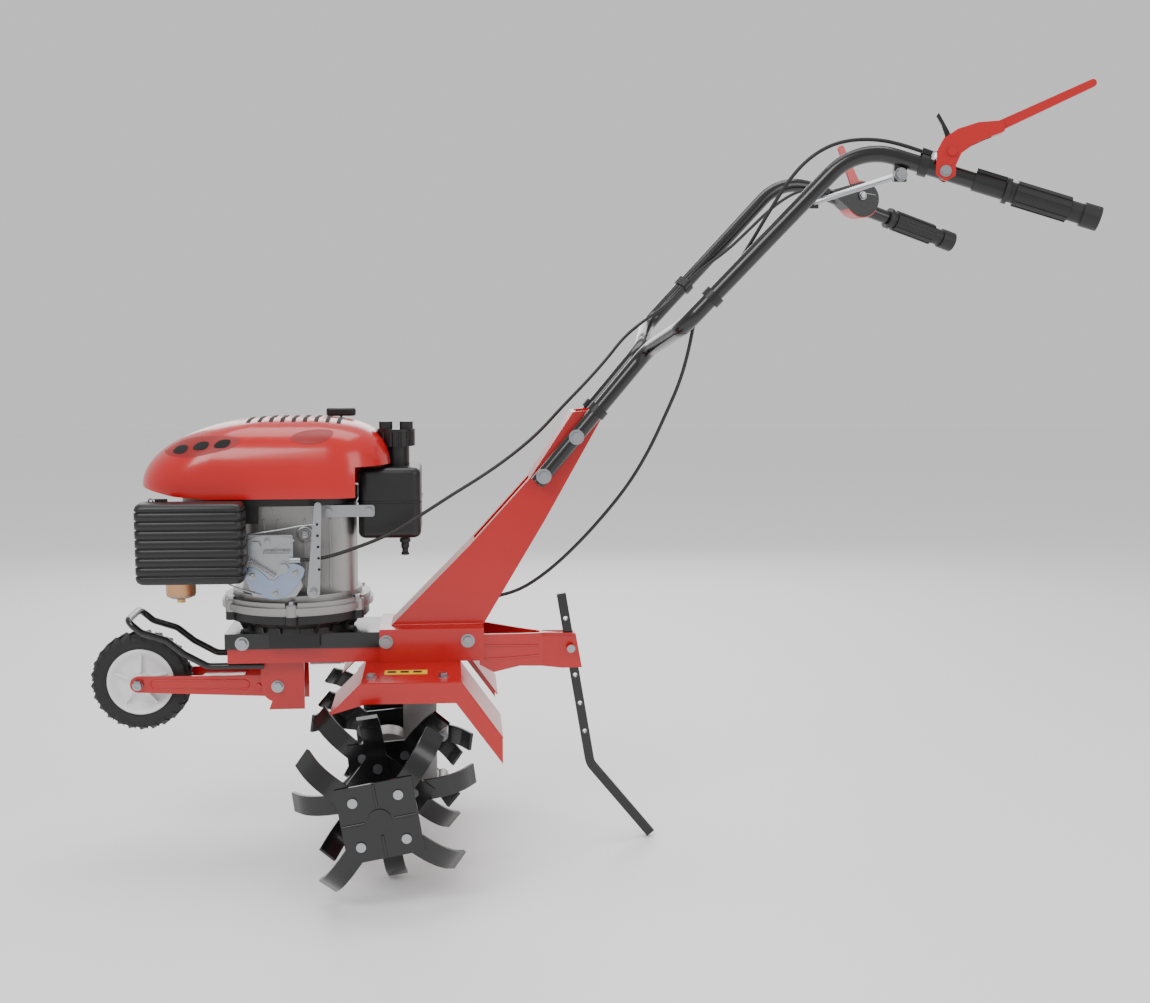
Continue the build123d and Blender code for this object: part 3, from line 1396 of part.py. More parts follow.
with BuildPart() as throttle_housing:
    with BuildSketch(throttle_plane.offset(housing_low)) as housing_face:
        with Locations((12.3, 4.5)):
            Circle(28)
        with Locations((-35.8, 14.5)):
            Circle(6)
        make_hull()
    pull(housing_face, housing_high - housing_low)
    with BuildSketch(throttle_plane.offset(slot_low)) as slot_face:
        with Locations(throttle_screw):
            Circle(throttle_disc_r + 1)
        with Locations((21, 40)):
            Rectangle(80, 90)
    pull(slot_face, slot_high - slot_low, Mode.SUBTRACT)
    with BuildSketch(throttle_plane.offset(housing_low - 1)) as screw_hole:
        with Locations(throttle_screw):
            Circle(3.1)
    pull(screw_hole, 50, Mode.SUBTRACT)
    disc(bar_plane(1, throttle_reach - 70), 0, 140, tube_r, Mode.SUBTRACT)
write(throttle_housing, "throttle_housing")

with BuildPart() as throttle_lever:
    with BuildSketch(throttle_plane.offset(slot_low + 0.5)) as lever_disc:
        with Locations(throttle_screw):
            Circle(9)
        with Locations((-25.8, 85.5)):
            Circle(5)
        make_hull()
        with Locations(throttle_screw):
            Circle(throttle_disc_r)
            Circle(3 + fit, mode=Mode.SUBTRACT)
    pull(lever_disc, slot_high - slot_low - 1)
write(throttle_lever, "throttle_lever")

# ---------------------------------------------------------------- fasteners of the fixed frame
with BuildPart() as frame_bolts:
    for side in (-1, 1):
        hex_bolt(side_seat(frame_bolt_x[0], deck_half, frame_bolt_z, side), frame_bolt_r, 11, 10, 5)
        hex_bolt(side_seat(frame_bolt_x[1], saddle_half, frame_bolt_z, side), frame_bolt_r, 14, 10, 5)
        hex_bolt(side_seat(frame_bolt_x[2], saddle_half, frame_bolt_z, side), frame_bolt_r, 17.2, 10, 5)
        for x, z in post_bolts:
            hex_bolt(side_seat(x, tube_y + tube_r, z, side), frame_bolt_r, 30, 11, 5)
        for x, y in fender_bolts:
            hex_bolt(level_seat(x, side * y, channel_low - 1 + fender_sheet / 2), 3, 6.3, 8, 4.5)
    pivot_seat = side_seat(wheel_pivot[0], bracket_out, wheel_pivot[1], -1)
    hex_bolt(pivot_seat, wheel_bolt_r, 2 * bracket_out + 6, 9, 6)
    for x, z in case_bolts:
        hex_bolt(side_seat(x, case_half, z, -1), 3, 2 * case_half + 5, 6.5, 5)
    for x, y in gear_bolts:
        hex_bolt(level_seat(x, y, channel_low + floor_plate), 3, floor_plate + 13, 6.5, 5)
    for x, y in lug_points:
        hex_bolt(level_seat(x, y, sump_low + 16), 3, 26, 7.5)
    for seat_side in (1, -1):
        seat = Plane(
            origin=lever_at + lever_plane.z_dir * (seat_side * (lever_side + 0.3)),
            x_dir=(level_x, -level_y, 0),
            z_dir=lever_plane.z_dir * seat_side,
        )
        hex_bolt(seat, lever_bolt_r, lever_side + 1, 7.5)
    with BuildSketch(throttle_plane.offset(slot_low - 4)) as screw_shank:
        with Locations(throttle_screw):
            Circle(3)
    pull(screw_shank, housing_high - slot_low + 4)
    with BuildSketch(throttle_plane.offset(housing_high)) as screw_head:
        with Locations(throttle_screw):
            Circle(6.5)
    pull(screw_head, 3)
    pin_seat = side_seat(pin_point[0], stake_thick / 2 + 0.8, pin_point[1], -1)
    disc(pin_seat, 0, 14, 3)
    disc(pin_seat, 12, 3, 6)
write(frame_bolts, "frame_bolts")

# ---------------------------------------------------------------- control cables
eye_run = 30.0


def through_eye(eye, direction):
    """Two cable points either side of an eye, upper one first."""
    return [tuple(eye + direction * eye_run), tuple(eye - direction * eye_run)]


clutch_run = [
    tuple(stop_at),
    tuple(stop_at + stop_dir * 38),
    (650, -240, 1023),
    (612, -235, 1019),
    (580, -231, 1003),
    (552, -226, 975),
    (523, -216, 926),
    (498, -204, 880),
    *through_eye(left_eye, left_climb),
    (424, -178, 745),
    (414, -163, 700),
    (397, -147, 655),
    (376, -132, 604),
    (349, -116, 554),
    (315, -98, 507),
    (277, -78, 461),
    (237, -57, 420),
    (197, -38, 390),
    (158, -24, 378),
    (123, -20, 357),
    (cable_hole[0] - 1, cable_hole[1], 322),
    (101, -31, 305),
]
throttle_run = [
    (716.5, 235, 991),
    (688, 230, 997),
    (655, 222, 990),
    (618, 217, 966),
    (580, 211, 930),
    (540, 205, 893),
    *through_eye(right_eye, climb),
    (432, 164, 803),
    (400, 132, 784),
    (366, 102, 760),
    (335, 72, 725),
    (300, 44, 690),
    (262, 16, 655),
    (225, -10, 618),
    (182, -38, 586),
    (140, -64, 560),
    (98, -86, 537),
    (50, -96, 507),
    (8, -99, 482),
    (-34, -102, 466),
    (-75, -104.5, 453),
    (-100, -105, 449),
    (-124, -105, 449),
]


def lay_cable(points):
    """Round cable through points, each corner eased as far as its shorter run allows."""
    corners = [Vector(*point) for point in points]
    radii = []
    for before, here, after in zip(corners, corners[1:], corners[2:]):
        run_in = (here - before).length
        run_out = (after - here).length
        turn = radians((here - before).get_angle(after - here))
        radii.append(min(0.45 * min(run_in, run_out) / tan(turn / 2), 900))
    with BuildPart() as cable:
        with BuildLine() as cable_line:
            FilletPolyline(*points, radius=radii)
        with BuildSketch(Plane(origin=cable_line.line @ 0, z_dir=cable_line.line % 0)):
            Circle(cable_r)
        sweep()
    length = sum(edge.length for edge in cable_line.line.edges())
    section = pi * cable_r ** 2 * length
    print("cable length", round(length), "least radius", round(min(radii)))
    print("cable volume over section times length", round(cable.part.volume / section, 4))
    return cable


clutch_cable = lay_cable(clutch_run)
write(clutch_cable, "clutch_cable")
throttle_cable = lay_cable(throttle_run)
write(throttle_cable, "throttle_cable")
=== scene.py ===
import bpy
import bmesh
import json
from math import cos, pi, radians, sin
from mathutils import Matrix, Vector
from mathutils.bvhtree import BVHTree


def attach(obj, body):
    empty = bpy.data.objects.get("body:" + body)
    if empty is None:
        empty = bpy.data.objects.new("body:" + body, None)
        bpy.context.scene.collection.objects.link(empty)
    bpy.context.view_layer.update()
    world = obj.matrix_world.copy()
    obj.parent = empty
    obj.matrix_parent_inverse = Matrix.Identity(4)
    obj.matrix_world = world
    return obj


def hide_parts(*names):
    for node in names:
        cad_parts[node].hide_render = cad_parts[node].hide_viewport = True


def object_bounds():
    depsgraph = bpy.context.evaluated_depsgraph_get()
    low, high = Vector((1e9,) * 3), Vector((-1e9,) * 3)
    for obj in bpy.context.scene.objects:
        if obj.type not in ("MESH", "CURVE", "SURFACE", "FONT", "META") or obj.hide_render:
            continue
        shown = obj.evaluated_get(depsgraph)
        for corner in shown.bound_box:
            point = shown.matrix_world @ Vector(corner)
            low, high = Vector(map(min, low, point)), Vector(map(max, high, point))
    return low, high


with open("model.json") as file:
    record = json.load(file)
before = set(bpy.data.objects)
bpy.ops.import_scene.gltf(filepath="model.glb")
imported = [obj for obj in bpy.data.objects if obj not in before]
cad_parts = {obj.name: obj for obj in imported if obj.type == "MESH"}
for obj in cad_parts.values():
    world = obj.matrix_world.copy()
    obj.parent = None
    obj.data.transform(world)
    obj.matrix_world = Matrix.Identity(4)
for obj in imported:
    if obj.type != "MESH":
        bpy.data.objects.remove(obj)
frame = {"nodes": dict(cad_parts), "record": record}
cad_low, cad_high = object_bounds()
nodes = frame["nodes"]


def mm(x, y, z):
    """Place given in millimetres of the frame."""
    return Vector((x, y, z)) / 1000


# ---------------------------------------------------------------- camera
cam_data = bpy.data.cameras.new("camera")
cam_data.lens = 49.01
cam_data.sensor_width = 36
cam = bpy.data.objects.new("camera", cam_data)
cam.location = (0.09826, -2.31125, 0.78482)
cam.rotation_euler = (radians(83.393), 0, radians(-4.537))
bpy.context.scene.collection.objects.link(cam)
bpy.context.scene.camera = cam


# ---------------------------------------------------------------- materials
def material(
    name, colour, rough, metal=0.0, coat=0.0, grain=300.0, bump=0.1, depth=0.0002, patch=0.12, tint=0.08,
):
    """Finish with patchy roughness, slight colour drift and a fine surface grain."""
    m = bpy.data.materials.new(name)
    m.use_nodes = True
    tree = m.node_tree
    shader = tree.nodes["Principled BSDF"]
    shader.inputs["Metallic"].default_value = metal
    shader.inputs["Coat Weight"].default_value = coat
    shader.inputs["Coat Roughness"].default_value = 0.08
    place = tree.nodes.new("ShaderNodeTexCoord")
    wide = tree.nodes.new("ShaderNodeTexNoise")
    wide.inputs["Scale"].default_value = 22
    wide.inputs["Detail"].default_value = 5
    tree.links.new(place.outputs["Object"], wide.inputs["Vector"])
    spread = tree.nodes.new("ShaderNodeMapRange")
    spread.inputs["To Min"].default_value = max(rough - patch, 0.04)
    spread.inputs["To Max"].default_value = min(rough + patch, 1)
    tree.links.new(wide.outputs["Fac"], spread.inputs["Value"])
    tree.links.new(spread.outputs["Result"], shader.inputs["Roughness"])
    mix = tree.nodes.new("ShaderNodeMix")
    mix.data_type = "RGBA"
    mix.inputs["A"].default_value = (*[c * (1 - tint) for c in colour], 1)
    mix.inputs["B"].default_value = (*[min(c * (1 + tint) + 0.004, 1) for c in colour], 1)
    tree.links.new(wide.outputs["Fac"], mix.inputs["Factor"])
    tree.links.new(mix.outputs["Result"], shader.inputs["Base Color"])
    fine = tree.nodes.new("ShaderNodeTexNoise")
    fine.inputs["Scale"].default_value = grain
    fine.inputs["Detail"].default_value = 3
    tree.links.new(place.outputs["Object"], fine.inputs["Vector"])
    rough_up = tree.nodes.new("ShaderNodeBump")
    rough_up.inputs["Strength"].default_value = bump
    rough_up.inputs["Distance"].default_value = depth
    tree.links.new(fine.outputs["Fac"], rough_up.inputs["Height"])
    tree.links.new(rough_up.outputs["Normal"], shader.inputs["Normal"])
    return m


mats = {
    "red_paint": material(
        "red_paint", (0.46, 0.0008, 0.0015), 0.24, coat=0.35, grain=260, bump=0.1, patch=0.03,
        tint=0.015,
    ),
    "black_paint": material(
        "black_paint", (0.0025, 0.0025, 0.003), 0.24, coat=0.2, grain=320, bump=0.12, patch=0.05,
    ),
    "red_plastic": material(
        "red_plastic", (0.5, 0.0008, 0.0015), 0.24, coat=0.3, grain=700, bump=0.04, patch=0.025,
        tint=0.012,
    ),
    "black_plastic": material(
        "black_plastic", (0.0035, 0.0035, 0.004), 0.38, grain=1400, bump=0.35, patch=0.06,
    ),
    "white_plastic": material(
        "white_plastic", (0.82, 0.82, 0.83), 0.35, coat=0.2, grain=500, bump=0.06, tint=0.03,
    ),
    "rubber": material("rubber", (0.006, 0.006, 0.006), 0.5, grain=1800, bump=0.4),
    "tyre_rubber": material("tyre_rubber", (0.008, 0.008, 0.008), 0.62, grain=1500, bump=0.5),
    "cast_aluminium": material(
        "cast_aluminium", (0.34, 0.335, 0.33), 0.4, metal=0.9, grain=900, bump=0.55, patch=0.08,
    ),
    "zinc_steel": material(
        "zinc_steel", (0.38, 0.39, 0.41), 0.3, metal=1.0, grain=420, bump=0.12, patch=0.08,
    ),
    "steel": material("steel", (0.3, 0.3, 0.31), 0.3, metal=1.0, grain=600, bump=0.15),
    "brass": material("brass", (0.62, 0.42, 0.16), 0.3, metal=1.0, grain=600, bump=0.15),
}
extra = {
    "blued_zinc": material(
        "blued_zinc", (0.3, 0.36, 0.48), 0.28, metal=1.0, grain=420, bump=0.12, patch=0.08, tint=0.2,
    ),
    "copper_bowl": material("copper_bowl", (0.5, 0.27, 0.14), 0.34, metal=1.0, grain=700, bump=0.3),
    "yellow_label": material(
        "yellow_label", (0.85, 0.62, 0.02), 0.35, coat=0.5, grain=200, bump=0.02, tint=0.03,
    ),
    # deep black stands in for painted shade inside holes, vent slots and grille openings
    "hole_shade_black": material("hole_shade_black", (0.004, 0.004, 0.004), 0.85, grain=600, bump=0.1),
    # dark red stands in for painted shade in the shroud's vent recesses and scoops
    "recess_shade_red": material("recess_shade_red", (0.28, 0.004, 0.005), 0.45, grain=500, bump=0.1),
}
slot_of = {s["node"]: s["material_slot"] for s in frame["record"]["subparts"]}


def finish_piece(obj, mat, body="frame", bevel=0.0005, segments=2, angle=32):
    """Give a piece its material, soft edges and its body."""
    obj.data.materials.clear()
    obj.data.materials.append(mats.get(mat) or extra[mat])
    if obj.type == "MESH":
        for face in obj.data.polygons:
            face.use_smooth = True
        if bevel > 0:
            edge = obj.modifiers.new("edge", "BEVEL")
            edge.width = bevel
            edge.segments = segments
            edge.limit_method = "ANGLE"
            edge.angle_limit = radians(angle)
            edge.harden_normals = True
        obj.data.set_sharp_from_angle(angle=radians(angle))
    if body:
        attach(obj, body)
    return obj


no_bevel = {"idler_spring", "v_belt", "worm_wheel", "worm_shaft"}
for name, obj in nodes.items():
    obj.data.materials.clear()
    obj.data.materials.append(mats[slot_of[name]])
    if name not in no_bevel:
        soft = obj.modifiers.new("edge", "BEVEL")
        soft.width = 0.0005
        soft.segments = 2
        soft.limit_method = "ANGLE"
        soft.angle_limit = radians(40)
        soft.harden_normals = True


# ---------------------------------------------------------------- mesh helpers
def mesh_piece(name, verts, faces, mat, body="frame", **how):
    """Closed or open mesh from points in metres, with its finish."""
    data = bpy.data.meshes.new(name)
    data.from_pydata([tuple(v) for v in verts], [], faces)
    bm = bmesh.new()
    bm.from_mesh(data)
    bmesh.ops.remove_doubles(bm, verts=bm.verts, dist=1e-6)
    bmesh.ops.recalc_face_normals(bm, faces=bm.faces)
    bm.to_mesh(data)
    bm.free()
    obj = bpy.data.objects.new(name, data)
    bpy.context.scene.collection.objects.link(obj)
    return finish_piece(obj, mat, body, **how)


def rings(loops, cap=True, closed=False):
    """Faces joining equal loops of points in a row."""
    verts = [p for loop in loops for p in loop]
    count = len(loops[0])
    faces = []
    last = len(loops) if closed else len(loops) - 1
    for i in range(last):
        for j in range(count):
            a, b = i * count + j, i * count + (j + 1) % count
            c, d = ((i + 1) % len(loops)) * count + (j + 1) % count, ((i + 1) % len(loops)) * count + j
            faces.append((a, b, c, d))
    if cap and not closed:
        faces.append(tuple(reversed(range(count))))
        faces.append(tuple(range((len(loops) - 1) * count, len(loops) * count)))
    return verts, faces


def axes_for(direction):
    """Two unit vectors across a direction, and the direction itself."""
    z = Vector(direction).normalized()
    x = z.orthogonal().normalized()
    return x, z.cross(x), z


def turned(name, origin, direction, profile, mat, body="frame", count=48, **how):
    """Lathe piece: profile is (radius, distance along direction) in millimetres."""
    x, y, z = axes_for(direction)
    loops = []
    for radius, along in profile:
        loops.append([
            Vector(origin) + z * along / 1000 + (
                x * cos(2 * pi * k / count)
                + y * sin(2 * pi * k / count)
            ) * radius / 1000
            for k in range(count)
        ])
    verts, faces = rings(loops)
    return mesh_piece(name, verts, faces, mat, body, **how)


def plate(name, outline, origin, across, up, thick, mat, body="frame", **how):
    """Flat plate of an outline in millimetres on two directions, thick along their cross product."""
    a, b = Vector(across).normalized(), Vector(up).normalized()
    n = a.cross(b)
    low = [Vector(origin) + (a * p + b * q) / 1000 for p, q in outline]
    high = [v + n * thick / 1000 for v in low]
    verts, faces = rings([low, high])
    return mesh_piece(name, verts, faces, mat, body, **how)


def rounded(width, height, radius, cx=0.0, cy=0.0, steps=6):
    """Outline of a rectangle with rounded corners, in millimetres."""
    pts = []
    for sx, sy, start in ((1, 1, 0), (-1, 1, 90), (-1, -1, 180), (1, -1, 270)):
        for k in range(steps + 1):
            a = radians(start + 90 * k / steps)
            pts.append(
                (
                    cx + sx * (width / 2 - radius) + radius * cos(a),
                    cy + sy * (height / 2 - radius) + radius * sin(a),
                )
            )
    return pts


def wire(name, points, radius, mat, body="frame", cyclic=False, smooth=True):
    """Round wire or tube along points in metres."""
    curve = bpy.data.curves.new(name, "CURVE")
    curve.dimensions = "3D"
    curve.bevel_depth = 1  # the points carry the radius, which keeps the curve's bounds true
    curve.bevel_resolution = 5
    curve.use_fill_caps = True
    line = curve.splines.new("NURBS" if smooth else "POLY")
    line.points.add(len(points) - 1)
    for point, place in zip(line.points, points):
        point.co = (*place, 1)
        point.radius = radius / 1000
    if smooth:
        line.order_u = 3
        line.use_endpoint_u = not cyclic
        line.resolution_u = 8
    line.use_cyclic_u = cyclic
    obj = bpy.data.objects.new(name, curve)
    bpy.context.scene.collection.objects.link(obj)
    curve.materials.append(mats.get(mat) or extra[mat])
    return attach(obj, body) if body else obj


def coil(name, start, end, radius, turns, gauge, mat, body="frame"):
    """Helical spring between two places, radius and gauge in millimetres."""
    x, y, z = axes_for(Vector(end) - Vector(start))
    length = (Vector(end) - Vector(start)).length
    count = int(turns * 16)
    pts = []
    for k in range(count + 1):
        a = 2 * pi * turns * k / count
        pts.append(Vector(start) + z * length * k / count + (x * cos(a) + y * sin(a)) * radius / 1000)
    return wire(name, pts, gauge, mat, body, smooth=False)


def bolt_head(name, place, direction, radius, mat="zinc_steel", body="frame", washer=0.0):
    """Hex flange head with a domed, recessed top."""
    if washer:
        turned(
            name + "_washer", place, direction, [(0.5, 0), (washer, 0), (washer, 1.1), (0.5, 1.1)], mat,
            body, bevel=0.0002,
        )
        place = Vector(place) + Vector(direction).normalized() * 0.0011
    turned(
        name, place, direction,
        [
            (0.2, 0), (radius * 1.02, 0), (radius * 1.02, radius * 0.5), (radius * 0.9, radius * 0.72),
            (radius * 0.45, radius * 0.78), (radius * 0.4, radius * 0.6), (0.2, radius * 0.58),
        ],
        mat, body, count=6, bevel=0.00025, angle=25,
    )


# ---------------------------------------------------------------- control cables
clutch_points = [
    (724, -254, 1004),
    (689.1, -246.8, 1017.3),
    (650, -240, 1023),
    (612, -235, 1019),
    (580, -231, 1003),
    (552, -226, 975),
    (523, -216, 926),
    (498, -204, 880),
    (472.3, -195, 838.8),
    (431.3, -188.8, 795.4),
    (424, -178, 745),
    (414, -163, 700),
    (397, -147, 655),
    (376, -132, 604),
    (349, -116, 554),
    (315, -98, 507),
    (277, -78, 461),
    (237, -57, 420),
    (197, -38, 390),
    (158, -24, 378),
    (123, -20, 357),
    (116, -20, 322),
    (101, -31, 305),
]
throttle_points = [
    (716.5, 235, 991),
    (688, 230, 997),
    (655, 222, 990),
    (618, 217, 966),
    (580, 211, 930),
    (540, 205, 893),
    (496.2, 198.5, 864.1),
    (455.2, 192.4, 820.7),
    (432, 164, 803),
    (400, 132, 784),
    (366, 102, 760),
    (335, 72, 725),
    (300, 44, 690),
    (262, 16, 655),
    (225, -10, 618),
    (182, -38, 586),
    (140, -64, 560),
    (98, -86, 537),
    (50, -96, 507),
    (8, -99, 482),
    (-34, -102, 466),
    (-75, -104.5, 453),
    (-100, -105, 449),
    (-124, -105, 449),
]


def curve_length(points, steps=24):
    """Length of the quadratic NURBS through its control points, in metres."""
    total, before = 0.0, None
    count = len(points)
    pts = [Vector(p) for p in points]
    for i in range(count - 2):
        start = pts[0] if i == 0 else (pts[i] + pts[i + 1]) / 2
        end = pts[-1] if i == count - 3 else (pts[i + 1] + pts[i + 2]) / 2
        for k in range(steps + 1):
            t = k / steps
            here = start * (1 - t) ** 2 + pts[i + 1] * 2 * t * (1 - t) + end * t ** 2
            if before is not None:
                total += (here - before).length
            before = here
    return total


for name, points in (("clutch_cable", clutch_points), ("throttle_cable", throttle_points)):
    places = [mm(*p) for p in points]
    cable = wire(name + "_casing", places, 2.5, "rubber")
    cable.data.splines[0].resolution_u = 12
    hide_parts(name)
    curve_length(places)

# ---------------------------------------------------------------- belt-tension spring
spring = coil("idler_coil", mm(-110, -46, 290), mm(-65, -46, 290), 3.7, 17, 0.75, "zinc_steel")
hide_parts("idler_spring")

# ---------------------------------------------------------------- front wheel
wheel_at = mm(-359, 0, 257.5)


def lathe_ring(name, origin, direction, profile, mat, body, count=96, **how):
    """Closed profile swept round an axis: (radius, distance along) in millimetres."""
    x, y, z = axes_for(direction)
    loops = []
    for k in range(count):
        a = 2 * pi * k / count
        out = x * cos(a) + y * sin(a)
        loops.append(
            [Vector(origin) + z * along / 1000 + out * radius / 1000 for radius, along in profile]
        )
    verts, faces = rings(loops, cap=False, closed=True)
    return mesh_piece(name, verts, faces, mat, body, **how)


tyre = lathe_ring(
    "tyre_casing", wheel_at, (0, 1, 0),
    [
        (47, -15), (49, -17.5), (54, -19.5), (60, -20.5), (65, -19.5), (68, -17), (69, -12), (69.4, 0),
        (69, 12), (68, 17), (65, 19.5), (60, 20.5), (54, 19.5), (49, 17.5), (47, 15), (46.4, 0),
    ],
    "tyre_rubber", "front_wheel", angle=50, bevel=0,
)
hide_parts("tyre")
for side in (-1, 1):
    lathe_ring(
        "tyre_bead_" + ("near" if side < 0 else "far"), wheel_at, (0, 1, 0),
        [
            (49.5, side * 17.4), (50.5, side * 18.9), (52, side * 18.9), (52.8, side * 18.2),
            (51, side * 17),
        ],
        "tyre_rubber", "front_wheel", bevel=0,
    )
tread_verts, tread_faces = [], []
block_count = 26
for k in range(block_count * 2):
    side = -1 if k % 2 else 1
    a0 = 2 * pi * k / (block_count * 2)
    half = 2 * pi / block_count * 0.36
    outline = [
        (a0 - half, 1.2), (a0 + half, 1.2), (a0 + half * 1.15, 12), (a0 + half * 0.8, 20.6),
        (a0 - half * 0.8, 20.6), (a0 - half * 0.5, 12),
    ]
    base = len(tread_verts)
    for radius_scale in (0, 1):
        for a, along in outline:
            radius = (66.5 if not radius_scale else 72.6) - (6.0 if along > 15 else 0)
            tread_verts.append(wheel_at + Vector((cos(a) * radius, side * along, sin(a) * radius)) / 1000)
    n = len(outline)
    tread_faces.append(tuple(base + j for j in range(n)))
    tread_faces.append(tuple(base + n + j for j in reversed(range(n))))
    for j in range(n):
        tread_faces.append((base + j, base + (j + 1) % n, base + n + (j + 1) % n, base + n + j))
mesh_piece("tyre_tread", tread_verts, tread_faces, "tyre_rubber", "front_wheel", bevel=0.0008)

rim_half = [
    (45.4, 0), (46, 10), (47.4, 15), (48.6, 17.4), (47.3, 18.2), (44.5, 17.4), (41, 14), (37, 9),
    (31, 6.8), (24, 6.5), (16, 8.5), (13, 12), (12.5, 26), (11, 27), (4.2, 27),
]
rim_profile = [
    (4.2, -27), (11, -27), (12.5, -26), (13, -12), (16, -8.5), (24, -6.5), (31, -6.8), (37, -9),
    (41, -14), (44.5, -17.4), (47.3, -18.2), (48.6, -17.4), (47.4, -15), (46, -10), *rim_half,
]
rim = lathe_ring(
    "rim_dish", wheel_at, (0, 1, 0), rim_profile, "white_plastic", "front_wheel", angle=45, bevel=0,
)
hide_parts("wheel_rim")
for k in range(5):
    a = 2 * pi * k / 5 + 0.3
    for side in (-1, 1):
        out = Vector((cos(a), 0, sin(a)))
        tang = Vector((-sin(a), 0, cos(a)))
        strip = [(11, 10), (14, 20), (40, 15), (40, 8), (20, 5)]
        loops = []
        for shift in (-1.3, 1.3):
            loops.append(
                [wheel_at + (out * r + Vector((0, side * y, 0)) + tang * shift) / 1000 for r, y in strip]
            )
        verts, faces = rings(loops)
        mesh_piece(
            f"rim_rib_{k}_{'near' if side < 0 else 'far'}", verts, faces, "white_plastic", "front_wheel",
        )

# ---------------------------------------------------------------- wheel arms, embossed slots and wheel nuts
for side in (-1, 1):
    tag = "near" if side < 0 else "far"
    y = side * 34.3
    slot_line = []
    for cx, start in ((-335, 90), (-206, -90)):
        for k in range(9):
            a = radians(start + 180 * k / 8)
            slot_line.append(mm(cx + 6.5 * cos(a), y, (257 if cx < -300 else 255) + 6.5 * sin(a)))
    wire("arm_emboss_" + tag, slot_line, 1.1, "red_paint", "wheel_fork", cyclic=True)
    bolt_head("wheel_nut_" + tag, mm(-359, side * 40, 257.5), (0, side, 0), 7.4, body="wheel_fork")

# ---------------------------------------------------------------- air filter
def filter_loop(z, inset):
    """Plan outline of the air filter cover at a height, drawn in by inset."""
    x0, x1, y0, y1 = -334 + inset, -187 - inset, -164 + inset, -126
    pts = []
    for cx, cy, start, r in (
        (x1 - 10, y0 + 10, 270, 10), (x1 - 2, y1 - 2, 0, 2), (x0 + 2, y1 - 2, 90, 2),
        (x0 + 10, y0 + 10, 180, 10),
    ):
        for k in range(7):
            a = radians(start + 15 * k)
            pts.append(mm(cx + r * cos(a), cy + r * sin(a), z))
    return pts


levels = [(424, 9), (424.8, 5), (427, 2.2), (430, 0.8), (433, 0.2)]
z = 437.0
while z < 528:
    levels += [
        (z - 1.6, 0.2), (z - 1.1, 0.9), (z - 0.8, 2.2), (z + 0.8, 2.2), (z + 1.1, 0.9), (z + 1.6, 0.2),
    ]
    z += 12.6
levels += [(530, 0.8), (533, 2.2), (535.2, 5), (536, 9)]
verts, faces = rings([filter_loop(h, inset) for h, inset in levels])
cover = mesh_piece("filter_cover_ribbed", verts, faces, "black_plastic", bevel=0, angle=70)
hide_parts("air_filter_cover")

# ---------------------------------------------------------------- pieces laid on a surface
depsgraph = bpy.context.evaluated_depsgraph_get()


def tree_of(name):
    """Ray-cast tree of a CAD node."""
    return BVHTree.FromObject(nodes[name], depsgraph)


def drape(name, outline, target, look, offset, mat, body="frame", rings_in=9, crown=0.0, **how):
    """Thin skin of an outline (x, z in millimetres) cast along look onto a CAD node."""
    tree = tree_of(target)
    look = Vector(look).normalized()
    dense = []
    for k, (x, z) in enumerate(outline):
        nx, nz = outline[(k + 1) % len(outline)]
        for step in range(4):
            t = step / 4
            dense.append((x + (nx - x) * t, z + (nz - z) * t))
    cx = sum(p[0] for p in dense) / len(dense)
    cz = sum(p[1] for p in dense) / len(dense)
    loops = []
    for ring in range(rings_in + 1):
        scale = 1 - 0.97 * ring / rings_in
        loop = []
        for x, z in dense:
            start = mm(cx + (x - cx) * scale, 0, cz + (z - cz) * scale) - look * 0.5
            hit = tree.ray_cast(start, look)[0]
            if hit is None:
                return None
            lift = offset + crown * (1 - scale * scale)
            loop.append(hit - look * lift / 1000)
        loops.append(loop)
    sunk = [p + look * (offset + 0.8) / 1000 for p in loops[0]]
    verts, faces = rings([sunk] + loops)
    return mesh_piece(name, verts, faces, mat, body, bevel=0, angle=50, **how)


def eased(points, passes=2):
    """Corner-cut an outline."""
    for _ in range(passes):
        cut = []
        for k, p in enumerate(points):
            q = points[(k + 1) % len(points)]
            cut.append((p[0] * 0.75 + q[0] * 0.25, p[1] * 0.75 + q[1] * 0.25))
            cut.append((p[0] * 0.25 + q[0] * 0.75, p[1] * 0.25 + q[1] * 0.75))
        points = cut
    return points


for side, tag in ((1, "near"), (-1, "far")):
    look = (0, side, 0)
    lens = eased(
        [
            (-312, 598), (-299, 611), (-272, 620), (-230, 625), (-193, 622), (-202, 608), (-231, 601),
            (-272, 593),
        ]
    )
    # painted shade: a dark red skin stands in for the shade in each vent recess
    drape("vent_recess_" + tag, lens, "engine_shroud", look, 0.3, "recess_shade_red")
    # painted shade: black skins stand in for the shade inside the vent slots
    for k, (x, z) in enumerate(((-281, 605), (-251, 610.5), (-221, 613.5))):
        slot = eased([(x - 14, z - 6), (x - 5, z + 5), (x + 14, z + 6), (x + 8, z - 6)], 2)
        drape(f"vent_slot_{tag}_{k}", slot, "engine_shroud", look, 0.8, "hole_shade_black")
    # painted shade: the scoop's skin is dark red for the shade in its mouth
    scoop = eased([(-131, 618), (-118, 628), (-92, 632), (-64, 630), (-74, 616), (-104, 611)])
    drape("scoop_" + tag, scoop, "engine_shroud", look, 0.4, "recess_shade_red", crown=1.0)

shroud_tree = tree_of("engine_shroud")
# painted shade: black strips stand in for the shade inside the grille openings on the shroud top
for k in range(9):
    x = -190 + 16 * k
    slat = []
    for j in range(19):
        pair = [
            shroud_tree.ray_cast(mm(x + shift, -54 + 5 * j, 900), Vector((0, 0, -1)))[0]
            for shift in (-3, 3)
        ]
        if None not in pair:
            slat += [hit + Vector((0, 0, 0.0005)) for hit in pair]
    faces = [(2 * j, 2 * j + 1, 2 * j + 3, 2 * j + 2) for j in range(len(slat) // 2 - 1)]
    mesh_piece(f"grille_slot_{k}", slat, faces, "hole_shade_black", bevel=0, angle=60)

